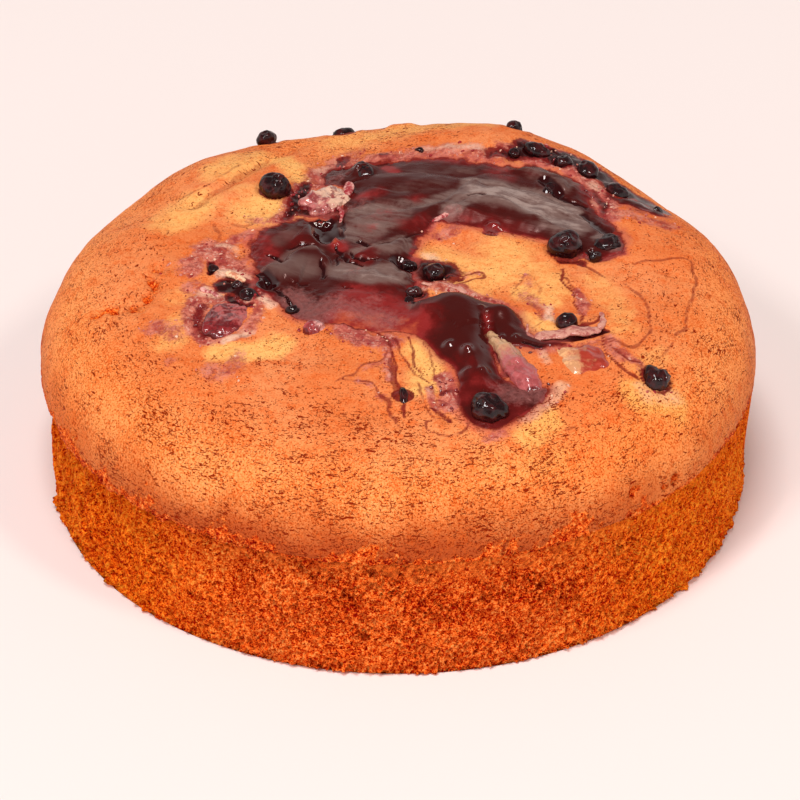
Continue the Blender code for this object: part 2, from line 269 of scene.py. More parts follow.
def bump(shader, height, distance):
    """Fine relief, with its depth in mm."""
    inputs = {"Height": height, "Distance": distance * MM, "Strength": 1.0}
    feed(shader, "Normal", add_node(height.tree, 'ShaderNodeBump', inputs))


def node_group(name, kind, inputs, outputs):
    """A new node group with named sockets: its tree and its inputs."""
    tree = bpy.data.node_groups.new(name, kind)
    for way, sockets in (('INPUT', inputs), ('OUTPUT', outputs)):
        for socket_name, socket_kind, *start in sockets:
            socket = tree.interface.new_socket(
                name=socket_name, in_out=way, socket_type=f'NodeSocket{socket_kind}')
            if start:
                socket.default_value = start[0]
    sockets = tree.nodes.new('NodeGroupInput').outputs
    return tree, {socket.name: Value(socket) for socket in sockets if socket.name}


def end_group(tree, *values):
    """Lead values to a node group's outputs."""
    for value, socket in zip(values, tree.nodes.new('NodeGroupOutput').inputs):
        tree.links.new(value.socket, socket)


def point_attribute(tree, name):
    """A number painted on the points of a piece, inside a geometry tree."""
    return add_node(tree, 'GeometryNodeInputNamedAttribute', {"Name": name}, data_type='FLOAT')


def with_attribute(tree, geometry, name, value, domain='POINT'):
    """Geometry that carries a value under a name."""
    inputs = {"Geometry": geometry, "Name": name, "Value": value}
    return add_node(tree, 'GeometryNodeStoreNamedAttribute', inputs, data_type='FLOAT', domain=domain)


def pushed_out(tree, geometry, amount):
    """Geometry whose points have moved along their normals."""
    normal = add_node(tree, 'GeometryNodeInputNormal')
    shift = add_node(tree, 'ShaderNodeVectorMath', {0: normal, "Scale": amount}, operation='SCALE')
    return add_node(tree, 'GeometryNodeSetPosition', {"Geometry": geometry, "Offset": shift})


def realized(tree, geometry):
    """Geometry with its instances made real."""
    return add_node(tree, 'GeometryNodeRealizeInstances', {"Geometry": geometry})


def end_dressed(tree, geometry, finish):
    """End a geometry tree with a real mesh in its material."""
    inputs = {"Geometry": realized(tree, geometry), "Material": finish}
    end_group(tree, add_node(tree, 'GeometryNodeSetMaterial', inputs))


def grow(piece, tree, **values):
    """Run a node tree on a piece and keep the result as the piece's own mesh."""
    modifier = piece.modifiers.new(tree.name, 'NODES')
    modifier.node_group = tree
    for socket in tree.interface.items_tree:
        key = socket.name.replace(" ", "_")
        if socket.in_out == 'INPUT' and key in values:
            modifier[socket.identifier] = values[key]
    depsgraph = bpy.context.evaluated_depsgraph_get()
    grown = piece.evaluated_get(depsgraph)
    mesh = bpy.data.meshes.new_from_object(grown, preserve_all_data_layers=True, depsgraph=depsgraph)
    piece.modifiers.remove(modifier)
    piece.data = mesh


def open_crumb_tree():
    """Geometry Nodes that sink pores into a piece wherever its crumb is bare."""
    tree, given = node_group(
        "open_crumb", 'GeometryNodeTree',
        (("Geometry", "Geometry"), ("Pore Size", "Float", 1.15), ("Pore Depth", "Float", 0.9),
         ("Hole Size", "Float", 6.5), ("Hole Depth", "Float", 1.3), ("Skin", "Float", 0.05),
         ("Finish", "Material")),
        (("Geometry", "Geometry"),))
    place = in_mm(add_node(tree, 'GeometryNodeInputPosition'))
    bare = point_attribute(tree, "bare")
    pores = noise(place, given["Pore Size"], 2.0, 0.6).rise(0.48, 0.62)
    warp = add_node(tree, 'ShaderNodeTexNoise', {"Vector": place, "Scale": 0.6}, 1)
    inputs = {0: warp, 1: (2.4, 2.4, 2.4), 2: place}
    warped = add_node(tree, 'ShaderNodeVectorMath', inputs, operation='MULTIPLY_ADD')
    inputs = {"Vector": warped, "Scale": 1.0 / given["Hole Size"]}
    away, pick, *_ = add_node(tree, 'ShaderNodeTexVoronoi', inputs, None)
    holes = (parts(pick)[0].rise(0.45, 1.0) * 0.42 - away).rise(0.0, 0.12)
    depth = larger(pores * given["Pore Depth"], holes * given["Hole Depth"]) * bare
    lift = (noise(place, 0.9, 1.0) - 0.5) * given["Skin"]
    pitted = with_attribute(tree, given["Geometry"], "pit", larger(pores, holes) * bare)
    end_dressed(tree, pushed_out(tree, pitted, (lift - depth) * MM), given["Finish"])
    return tree


def crumb_tone_group():
    """Colour and fine relief of open crumb, with painted shade down in its pores."""
    tree, given = node_group(
        "crumb_tone", 'ShaderNodeTree',
        (("Place", "Vector"), ("Pit", "Float", 0.0), ("Lift", "Float", 0.0)),
        (("Colour", "Color"), ("Height", "Float")))
    place = given["Place"]
    grain = noise(place, 1.3, 2.0, 0.6) * 0.40 + noise(place, 0.50, 2.0, 0.6) * 0.60
    grain = grain + (noise(place, 14.0) - 0.5) * 0.14 + given["Lift"]
    colour = laid_over(
        (0.27, 0.002, 0.0001),
        (grain.rise(0.39, 0.46), (0.50, 0.024, 0.0005)),
        (grain.rise(0.44, 0.50), (0.80, 0.105, 0.008)),
        (grain.rise(0.50, 0.56), (0.97, 0.195, 0.028)),
        (grain.rise(0.56, 0.63), (1.0, 0.34, 0.080)))
    # Painted shade: the colour is darkened by Pit, which marks the sunk pores and holes, and on the side
    # also the tears and the lip's shadow
    end_group(tree, tint(given["Pit"] * 0.60, colour, (0.50, 0.16, 0.03), 'MULTIPLY'), grain)
    return tree


crumb_tone = crumb_tone_group()
open_crumb = open_crumb_tree()


def crumb_look(place, **inputs):
    """Colour and fine relief of the open crumb in a material."""
    return add_node(place.tree, 'ShaderNodeGroup', {"Place": place, **inputs}, None, node_tree=crumb_tone)


def side_finish():
    """Open crumb, lighter and more orange at the right and left from painted warm light, with painted shade
    in its pits, and some browned skin left near the lip.
    """
    finish, tree, shader, place = new_finish("bare_crumb", 0.78, specular=0.02)
    across, _, height = parts(place)
    # Painted light: at the right and left the crumb is lifted lighter and its blue cut, standing in for warm
    # light thrown onto those sides
    aside = calc('ABSOLUTE', across).rise(30.0, 75.0)
    # Painted shade in the pits, the tears and under the proud lip
    pit = painted(tree, "pit") + painted(tree, "tear")
    tone, relief_height = crumb_look(place, Pit=pit, Lift=aside * 0.026)
    skin = (height - 31.0) * 0.022 + noise(place, 5.0, 4.0, 0.7)
    colour = tint(skin.rise(0.52, 0.68) * 0.50, tone, (0.88, 0.185, 0.028))
    feed(shader, "Base Color", tint(aside, colour, (1.0, 0.95, 0.30), 'MULTIPLY'))
    bump(shader, relief_height, 1.1)
    return finish


def angle_from(turn, middle):
    """Angle of turns from a middle one, between -pi and pi."""
    return np.angle(np.exp(1j * (turn - middle)))


def lip_stands_proud(turn):
    """1 where the crust's lower edge stands out over the crumb, 0 where they are flush."""
    return bell(angle_from(turn, HOLLOW_TURN) / 0.75)


def torn_share(turn):
    """Share of the tearing round the hollow at the left."""
    return np.exp(-(angle_from(turn, HOLLOW_TURN) / HOLLOW_SPREAD) ** 2 / 0.7)


def slanted_tears(places):
    """Strength of the tears that run down to the right across the side."""
    slanted = places @ np.array([[1.0, 0.0, 0.0], [0.0, 1.0, 0.0], [0.35, -0.35, 0.35]])
    return np.clip(1.0 - 1.6 * np.abs(unevenness(slanted, 7.0, 12)), 0.0, 1.0)


def ring_places(turn, radius, height):
    """Points all round at one height."""
    return np.stack((radius * np.cos(turn), radius * np.sin(turn), np.full(len(turn), height)), axis=1)


def ring_faces(first, second):
    """Faces between two rings of points, given by their numbers."""
    return np.stack((first, np.roll(first, -1), np.roll(second, -1), second), axis=1)


def wall_radius(turn, height):
    """The side's radius all round at one height."""
    proud = lip_stands_proud(turn)
    inset = WALL_INSET * (0.25 + 3.4 * proud)
    radius = FOOT_RADIUS + (LIP_RADIUS - inset - FOOT_RADIUS) * height / LIP_HEIGHT
    hollow = bell(angle_from(turn, HOLLOW_TURN) / HOLLOW_SPREAD)
    radius -= HOLLOW_DEPTH * hollow * bell((height - HOLLOW_HEIGHT) / HOLLOW_TALL)
    places = ring_places(turn, FOOT_RADIUS, height)
    below_lip = 1.0 - soft_step(28.0, 38.0, height) * (1.0 - proud)
    radius -= 0.45 * (1.0 + unevenness(places, 17.0, 11)) * (0.25 + 0.75 * below_lip)
    radius -= 1.5 * torn_share(turn) * slanted_tears(places)
    foot = np.clip(1.0 - height / (1.6 + 0.9 * unevenness(places, 6.0, 13)), 0.0, 1.0)
    crumbs = 0.75 * unevenness(places, 2.6, 14) + 0.55 * unevenness(places, 1.3, 15)
    return radius - 1.6 * foot * foot + crumbs * np.exp(-height / 4.0) - 0.3


def side_mesh():
    """Places, faces and bake map of the side: base, wall and a cap under the crust."""
    turn = np.arange(WALL_SEGMENTS) / WALL_SEGMENTS * math.tau
    rings = [ring_places(turn, radius, 0.0) for radius in BASE_RINGS]
    for height in np.linspace(FOOT_HEIGHT, LIP_HEIGHT, WALL_ROWS + 1):
        rings.append(ring_places(turn, wall_radius(turn, height), height))
    rings += [ring_places(turn, radius, height) for radius, height in CAP_RINGS]
    places = np.vstack(rings + [[[0.0, 0.0, 0.0], [0.0, 0.0, CAP_HEIGHT]]])
    numbers = np.arange(len(places) - 2).reshape(len(rings), WALL_SEGMENTS)
    bottom, top = len(places) - 2, len(places) - 1

    # Bake map: the base in a disc, the wall in strips, and the hidden cap in a small disc
    base_rows = len(BASE_RINGS)
    wide = WALL_SEGMENTS // WALL_STRIPS
    strip, along = np.divmod(np.arange(WALL_SEGMENTS), wide)
    left, right = along / wide, (along + 1) / wide
    tall = STRIP_TALL / (len(rings) - 1 - base_rows)
    faces, corners = [], []
    for row in range(len(rings) - 1):
        band = ring_faces(numbers[row], numbers[row + 1])
        down = STRIP_FLOOR + STRIP_PITCH * strip + tall * (row - base_rows)
        up = down + tall
        faces += band.tolist()
        if row < base_rows:
            corners.append(BASE_SPOT + BASE_SCALE * places[band.ravel(), :2])
        else:
            corners.append(np.stack((left, down, right, down, right, up, left, up), axis=1).reshape(-1, 2))
    first, last = numbers[0], numbers[-1]
    base_fan = np.stack((np.full_like(first, bottom), np.roll(first, -1), first), axis=1)
    cap_fan = np.stack((np.full_like(last, top), last, np.roll(last, -1)), axis=1)
    corners.append(BASE_SPOT + BASE_SCALE * places[base_fan.ravel(), :2])
    corners.append(CAP_SPOT + CAP_SCALE * places[cap_fan.ravel(), :2])
    return places, faces + base_fan.tolist() + cap_fan.tolist(), np.vstack(corners)


places, faces, corners = side_mesh()
crumb = side_finish()
side = add_piece("cake_side", places, faces, crumb, corners)
turn = np.arctan2(places[:, 1], places[:, 0])
height = places[:, 2]
bare = soft_step(0.1, 1.2, height) * (1.0 - soft_step(38.4, 39.2, height))
paint(side, "bare", np.clip(bare * (0.86 + 0.22 * unevenness(places, 15.0, 21)), 0.0, 1.1))
# Painted shade: the torn streaks at the left and a band just under the proud lip are darkened through the
# crumb's pit colour, standing in for shade in the tears and the lip's shadow on the crumb
tear = 0.9 * torn_share(turn) * slanted_tears(places) * (height > 1.0)
lip_shadow = lip_stands_proud(turn) * bell((height - 35.5) / 2.0)
paint(side, "tear", np.clip(tear + lip_shadow, 0.0, 1.3))
grow(side, open_crumb, Finish=crumb, Skin=0.16)
settle_piece(side, "crumb", "cake")


# ---- The crust --------------------------------------------------------------
# The browned top skin: a low dome with a full shoulder, duskier towards its torn
# lower edge, with dash-like pores, soaked patches and thin swirls of blue batter.

CROWN_HEIGHT = 68.0
SHOULDER = 0.29
LEAN = 0.03                  # how much fuller the right shoulder is than the left
CROWN_RISE = 1.04
SWELLS = (                   # soft rises and dips: x, y, height and radius
    (28, 72, 4.0, 13.5), (-56, 60, 1.6, 16.0), (74, 54, -4.8, 12.5),
    (-18, 70, -4.2, 16.5), (-78, 47, -2.6, 12.0),
)
CRUST_STEPS = 146            # from the crown to the lip
UNDERSIDE = 2.4              # how far above the lip the crust's hidden underside lies
TOP_SPOT = 0.45              # the crust's middle in the bake map, and its half-width
TOP_SCALE = 0.41
EDGE_PITCH = 0.012           # each ring of the torn edge lies this share further out there
UNDERSIDE_SPOT = 0.95
UNDERSIDE_SCALE = 0.0006
FLOW_ROUND = 62.0            # the dashes run round the cake: their scale round it and upright
FLOW_UPRIGHT = 0.74
BERRIES = [f"berry_{number:02d}" for number in range(1, 21)]
RUN_BLEND = 1.6

# The filling's outline: lines of plan points, with its half-width at each
FILLING_RUNS = (
    ((-31, 12, 9.5), (-27, 2, 11.5), (-27, -8, 10.5), (-22, -19, 8.5)),
    ((-31, 12, 9.5), (-22, 14, 10.5), (-8, 13, 12.0), (-6, -8, 9.5)),
    ((-27, 2, 11.5), (-6, -8, 9.5)),
    ((-21, -18, 9.0), (-8, -21, 10.5), (3, -25, 7.5)),
    ((-8, 13, 12.0), (0, 32, 14.0), (6, 43, 15.0)),
    ((-14, 50, 8.0), (6, 43, 15.0), (24, 36, 15.5), (36, 34, 18.0)),
    ((36, 34, 18.0), (46, 24, 11.0), (55, 14, 8.5)),
    ((3, -25, 6.0), (15, -27, 11.5), (26, -28, 7.5), (31, -35, 4.2), (38, -39.6, 2.0), (45, -37.8, 1.0)),
    ((14, -30, 9.5), (17, -40, 7.2), (20.3, -47, 5.4), (21.8, -54, 5.2), (24, -62, 7.4), (24.5, -67, 7.8)),
    ((25, -66, 7.5), (33, -63, 5.0), (39.5, -59.5, 2.0)),
)
STRIP_RUNS = (((60, 41, 3.2), (66, 39, 3.8), (72, 35, 2.6)),)
# Swirls of blue batter in the skin: half-width, depth of colour, and x and y of each point
SWIRLS = (
    (0.45, 0.62, 62, -8, 66, -13, 68, -19, 68, -26, 66, -34, 62, -38, 58, -35),
    (0.40, 0.62, 65, 3, 72, 5, 80, 8, 82, 1, 81, -6, 79, -16, 77, -25, 74, -34, 71, -41),
    (0.55, 0.90, 55, -34, 57, -41, 60, -46, 65, -50), (0.30, 0.90, 57, -35, 60, -41, 65, -45),
    (0.40, 0.95, 45, -1, 44.5, -7, 47, -12, 48.5, -18, 49.5, -24, 49, -30),
    (0.30, 0.80, 44, -7, 46, -6, 48, -11), (0.6, 0.9, 50, -29, 53, -27, 55, -22),
    (0.25, 0.50, 30, -14, 33, -8, 35.5, -4, 38, -9, 39, -14),
    (0.25, 0.50, 32, -9, 35, -17, 39, -26, 37, -31), (0.20, 0.45, 31, -19, 33, -26, 37, -31),
    (0.20, 0.45, 34, -12, 37, -19, 38, -27),
    (0.45, 0.85, 13, -3.5, 18, -4.5, 22, -3.5, 23, -6, 19, -8.5, 14, -8),
    (0.25, 0.75, -16, -56, -12.4, -53, -8.9, -49, -5.8, -46, -2.2, -41),
    (0.30, 0.80, -15, -55.7, -10.4, -55.1, -6.8, -56.9, -4.2, -61, -2.2, -67, -0.4, -75),
    (0.20, 0.50, -9.8, -61, -6.7, -67, -4.2, -73, -2.6, -76.5),
    (0.20, 0.45, -32.6, -42.5, -27.4, -47, -22.2, -49, -19.7, -44.6, -20.8, -39),
    (0.45, 0.95, -5, -31, -2.7, -37.3, -1.2, -44.7, -0.1, -53.7, 0.9, -60.7, 0.8, -71),
    (0.7, 0.70, -2.6, -45, -1.4, -52, -0.4, -58, 0.6, -64),
    (0.30, 0.85, -1.2, -35.4, 0.9, -41.9, 3.5, -49.3, 7.6, -55.9, 10.1, -58.1),
    (0.30, 0.90, 2.5, -35.4, 4.0, -41.9, 4.5, -47.5, 6.6, -52.0),
    (0.25, 0.65, 7.6, -38.2, 9.2, -44.7, 9.6, -52.0, 10.9, -55.9),
    (0.30, 0.85, 5.0, -56.4, 6.5, -63.2, 9.1, -69.5, 12.5, -70.5),
    (0.35, 0.80, 9.6, -70.9, 7.5, -72.4, 8.0, -75.8, 11.6, -77.7, 15.6, -77.1, 18.5, -75.1, 18.2, -72.0),
    (0.5, 0.45, 44, -72, 48, -70), (0.6, 0.45, -51, 23, -50, 17, -51, 12),
    # The broad swirl from (-57, 33) to (-36, 62) lies along the crease: partly blue batter and partly
    # painted shade in the fold
    (0.6, 0.40, -46, 23, -43, 22, -40, 23.5), (1.0, 0.30, -57, 33, -51, 40, -46, 47, -41, 54, -36, 62),
    (0.4, 0.40, -60, 38, -54, 43, -48, 51, -44, 57), (0.5, 0.70, 51, 2, 54, -1, 57, -4),
)
# Marks in the skin: radius, strength, and x and y of each point.  Stains are mauve where
# fruit or batter coloured it, syrups near black, creams and pales where pale batter rose.
STAINS = (
    (5.5, 0.75, -52, 8, -47, 3, -44, -3), (3.5, 0.7, -56, 4, -57, -2), (3.5, 0.6, -47, 12, -42, 16),
    (3.5, 0.6, -56, -10, -51, -13, -46, -9), (3.0, 0.85, -49, -17, -43, -18.5, -37, -18),
    (3.5, 0.8, -54, -17, -55, -27, -51, -34), (2.2, 0.6, -50, -35.5, -42, -34, -38, -27, -38, -21),
    (4.2, 0.55, -66, -28, -61, -30), (4.0, 0.5, -50, -48, -46, -51, -43, -45), (2.6, 0.4, -61, -42),
    (5.0, 0.25, -64, 1), (3.2, 0.85, -32, 25, -29, 32, -27, 43), (5.0, 0.65, -23, 46, -20, 53, -14, 60),
    (3.5, 0.5, -18, 62, -12, 66), (4.2, 0.62, -7, 60, 6, 61.5, 16, 60, 27, 56.5),
    (4.0, 0.8, 31, 59, 38, 62, 46, 62, 54, 60), (3.6, 0.9, 38, 57, 46, 55, 52, 50),
    (4.5, 0.8, 50, 53, 55, 45, 58, 37, 59, 28), (3.5, 0.55, 62, 31, 69, 27, 76, 27),
    (3.2, 0.8, 8, 21, 13, 26, 17, 24), (3.0, 0.55, 12, 16, 16, 19),
    (2.6, 0.85, 6, -9.5, 12, -10.5, 18, -13, 23, -16, 28, -20), (2.4, 0.45, 15, -5.5, 21, -5),
    (2.6, 0.50, 35, -14, 38, -20, 40, -26), (1.6, 0.45, 35.5, -5, 36, -9),
    (1.8, 0.75, 48.6, -12, 50.6, -17, 49.5, -23), (1.4, 0.60, 58, -37, 62, -42, 66, -47),
    (1.6, 0.65, 8, -60, 10, -66), (4.0, 0.85, -14, -32, -9, -36, -3, -37),
    (1.8, 0.6, -3, -37, -3, -46, -2, -54), (1.8, 0.42, -9, -50, -5.5, -48, -3, -44),
    (1.3, 0.40, -11, -55, -6.5, -58, -3.6, -64), (3.0, 0.85, 12, -54, 14, -59, 14, -66),
    (2.0, 0.5, 24, -78, 28, -76), (2.2, 0.5, 54, -37, 46, -40, 40, -41), (2.5, 0.6, 57, -36, 60, -42),
    (2.4, 0.5, -41, 25, -36, 24),
)
SYRUPS = (
    (2.0, 0.95, -31, 25, -29, 31, -27.5, 38, -26, 45), (1.4, 0.8, -17, 29, -15, 36),
    (1.8, 0.6, -53.0, -19, -53.8, -27, -51.5, -33), (1.4, 0.95, -51, 1.5, -51, -2.5),
    (1.5, 0.9, -46, -15, -44, -19, -40, -20), (1.3, 1.0, 33, -38, 37, -38.2, 44, -36, 50, -33.6, 56, -31.4),
    (1.2, 0.7, 12, -61, 16, -60, 17, -65), (1.0, 0.6, 9, -66, 14, -72),
    (1.6, 0.8, 53.5, 42, 57.5, 33, 57, 26), (1.5, 0.9, 38, 61, 45, 57, 52, 57),
    (1.6, 0.8, -15, 64, -15.5, 58), (1.8, 0.9, -4, 60.5),
    (1.0, 0.55, -4.5, 86, -2, 88, 1, 88.6, 4, 88, 6.5, 86), (3.0, 0.8, -37, -8, -36, -13),
    (5.6, 1.1, 2, 0.6, 7, -1.6, 11.5, -3.0), (1.3, 0.8, 13, -5, 17, -6.5), (3.2, 1.0, 3, -10, 5, -15),
    (4.2, 1.1, -46, -9.5, -41, -12, -36, -11), (1.8, 0.95, 26, 17.2),
    (5.0, 1.1, 36, 61, 45, 60, 52, 58, 57, 55.5), (4.4, 1.1, 57, 55, 62, 51, 67, 47, 72, 42),
    (3.0, 0.95, -27.5, 29.5, -23.5, 28.5, -18.5, 28, -14.5, 28.5), (3.0, 0.9, 54, 7, 60, 9),
    (2.2, 0.8, 45, 4, 50, 3), (1.4, 0.8, 44, -29, 50, -30), (1.6, 0.6, 57, 53, 62, 45),
    (2.8, 0.8, 27, 58, 32, 57.5, 37, 58), (1.5, 0.95, 24.5, -33, 26.5, -42, 28.5, -52),
)
CREAMS = (
    (2.4, 0.8, -47, -3, -42, -7), (2.0, 0.7, -53, -12, -49, -15), (1.5, 0.8, -38, -17, -34, -20),
    (1.6, 0.85, -41, -16.5, -36.5, -14.5, -33.5, -12.5), (1.4, 0.7, -47, -36, -40, -33),
    (2.8, 0.6, -18, 48, -20, 55), (1.6, 0.6, 39.0, -41, 38.8, -44, 39.5, -47),
    (2.4, 0.75, 33, -69.5, 37, -66, 41, -62, 43.5, -58), (1.9, 0.45, 6, 63, 18, 62, 28, 58),
    (2.2, 0.55, 8.5, 6, 12, 0), (1.8, 0.7, 41, -21, 41.5, -27), (2.6, 0.5, 54, 33, 55, 46),
    (2.0, 0.6, -23, 30, -19, 42), (1.6, 0.5, -49, 11, -44, 9), (3.0, 0.5, 66, -53, 73, -51),
)
PALES = (
    (8.5, 0.9, -39, 30, -34, 27), (4.0, 0.9, -33, 62, -29, 54, -27, 48), (5.0, 0.6, -62, -34, -58, -26),
    (4.5, 0.95, -48, -40, -39, -42, -32, -38), (4.5, 0.8, 40, -69, 34, -75), (5.0, 0.9, 64, -55, 73, -53),
    (6.5, 0.65, 10, 6, 20, 0, 36, 0, 42, -12), (4.0, 0.8, 34, -12, 41, -18),
    (4.6, 0.95, 6, -40, 8, -50, 7, -58), (4.0, 0.8, 33, -26, 40, -31), (6.0, 0.4, 26, -85, 42, -80),
    (5.0, 0.5, 54, -6, 60, -20, 60, -30), (5.0, 0.5, -45, 42, -38, 38), (5.0, 0.5, 66, -46, 70, -40),
    (5.0, 0.45, -47, -17, -60, -14), (8.0, 0.75, -62, 26, -56, 34), (7.0, 0.7, -50, 52, -40, 62),
    (9.0, 0.7, 16, -8, 30, 0, 30, 8), (7.0, 0.6, -16, 76, 4, 80, 24, 80),
)
# A shallow fold of the skin at the back left, and where it burst open at the left
CREASE = (-57, 34, -47, 45, -40, 55, -28, 74)
CRACK = (-83, -14, -77, -15, -69, -15, -66, 1)
# Holes in the wall of the crust: place, half-width and depth
WALL_HOLES = (
    (63.4, -74.9, 44.4, 1.7, 2.4),
    (74.2, -64.9, 41.6, 1.6, 2.0),
    (71.8, -67.6, 41.0, 1.0, 1.0),
)
DUSK_TURN = math.radians(-97)
DUSK_SPREAD = math.radians(48)


def dome_rise(reach, shoulder):
    """Share of the crown's height at a share of the lip's radius."""
    return np.sqrt(np.maximum(0.0, 1.0 - np.minimum(reach, 1.0) ** (2.0 / shoulder)))


def risen(x, y, rise):
    """Height above the base of a place with a share of the crown's height."""
    swells = sum(high * np.exp(-((x - swell_x) ** 2 + (y - swell_y) ** 2) / (2.0 * wide * wide))
                 for swell_x, swell_y, high, wide in SWELLS)
    return LIP_HEIGHT + (CROWN_HEIGHT - LIP_HEIGHT) * rise ** CROWN_RISE + swells * rise


def crown_height(x, y):
    """Height of the baked top above the base."""
    shoulder = SHOULDER - LEAN * np.cos(np.arctan2(y, x))
    return risen(x, y, dome_rise(np.hypot(x, y) / LIP_RADIUS, shoulder))


def plan_bumps(x, y, size, seed):
    """Smooth bumps of about one size over plan places."""
    flat = np.stack((x.ravel(), y.ravel(), np.zeros(x.size)), axis=1)
    return unevenness(flat, size, seed).reshape(np.shape(x))


def ripple(x, y, fine=1.0):
    """Low unevenness of the baked top, which the filling follows too."""
    return 0.40 * plan_bumps(x, y, 24.0, 42) + fine * 0.14 * plan_bumps(x, y, 7.0, 43)


def beside(x, y, start, end):
    """Share of the way along a straight line, and the distance from it."""
    step_x, step_y = end[0] - start[0], end[1] - start[1]
    from_x, from_y = x - start[0], y - start[1]
    along = np.clip((from_x * step_x + from_y * step_y) / (step_x ** 2 + step_y ** 2), 0.0, 1.0)
    return along, np.hypot(from_x - step_x * along, from_y - step_y * along)


def run_reach(x, y, runs, blend=RUN_BLEND):
    """Distance inside the outline of softly joined runs; negative outside it."""
    reaches = []
    for run in runs:
        for start, end in zip(run, run[1:]):
            along, away = beside(x, y, start, end)
            reaches.append(start[2] + (end[2] - start[2]) * along - away)
    best = np.max(reaches, axis=0)
    joined = sum(np.exp((reach - best) / blend) for reach in reaches)
    return best + blend * (np.log(joined) - 0.6)


def filling_reach(x, y, runs):
    """Distance inside the filling, whose edge is ragged except in front and in its bay."""
    ragged = 0.75 * plan_bumps(x, y, 7.0, 33) + 0.45 * plan_bumps(x, y, 2.8, 34)
    bay = np.exp(-((x - 27.0) / 20.0) ** 4 - ((y - 12.0) / 15.0) ** 4)
    calm = (soft_step(-24.0, -12.0, y) * 0.75 + 0.25) * (1.0 - 0.85 * bay)
    return run_reach(x, y, runs) + ragged * calm


def smooth_path(line, steps=6):
    """A smooth line through plan points, given as x and y in turn."""
    points = np.array(line, dtype=float).reshape(-1, 2)
    padded = np.vstack((2 * points[0] - points[1], points, 2 * points[-1] - points[-2]))
    path = []
    for before, start, end, after in zip(padded, padded[1:], padded[2:], padded[3:]):
        for t in np.arange(steps) / steps:
            path.append(0.5 * (2 * start + (end - before) * t
                               + (2 * before - 5 * start + 4 * end - after) * t * t
                               + (3 * start - before - 3 * end + after) * t ** 3))
    return np.vstack((path, points[-1:]))


def path_sides(x, y, line):
    """Distance to a smooth line, positive on its right, and the share of the way along it."""
    path = smooth_path(line)
    nearest = np.full(np.shape(x), 1e9)
    signed = np.zeros(np.shape(x))
    share = np.zeros(np.shape(x))
    for number, (start, end) in enumerate(zip(path, path[1:])):
        along, away = beside(x, y, start, end)
        closer = away < nearest
        on_right = (x - start[0]) * (end[1] - start[1]) >= (y - start[1]) * (end[0] - start[0])
        nearest = np.where(closer, away, nearest)
        signed = np.where(closer, np.where(on_right, away, -away), signed)
        share = np.where(closer, (number + along) / (len(path) - 1), share)
    return signed, share


def path_distance(x, y, line):
    """Distance from places to a smooth line, or to a single point."""
    if len(line) == 2:
        return np.hypot(x - line[0], y - line[1])
    return np.abs(path_sides(x, y, line)[0])


def strokes(x, y, marks):
    """Strength of the strongest of several soft strokes or patches."""
    total = np.zeros(np.shape(x))
    for radius, strength, *line in marks:
        total = np.maximum(total, strength * np.exp(-0.7 * (path_distance(x, y, line) / radius) ** 3))
    return total


def berry_frame(node):
    """Middle, half-sizes and axes of a berry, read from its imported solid."""
    points = np.array([vertex.co for vertex in bpy.data.objects[node].data.vertices]) / MM
    middle = (points.min(axis=0) + points.max(axis=0)) / 2.0
    _, axes = np.linalg.eigh(np.cov((points - middle).T))
    spans = [np.ptp((points - middle) @ axes[:, i]) / 2.0 for i in range(3)]
    up = int(np.argmax(np.abs(axes[2])))
    order = [i for i in range(3) if i != up] + [up]
    axes = axes[:, order]
    axes[:, 2] *= np.sign(axes[2, 2])
    if np.linalg.det(axes) < 0.0:
        axes[:, 0] *= -1.0
    return middle, np.array(spans)[order], axes


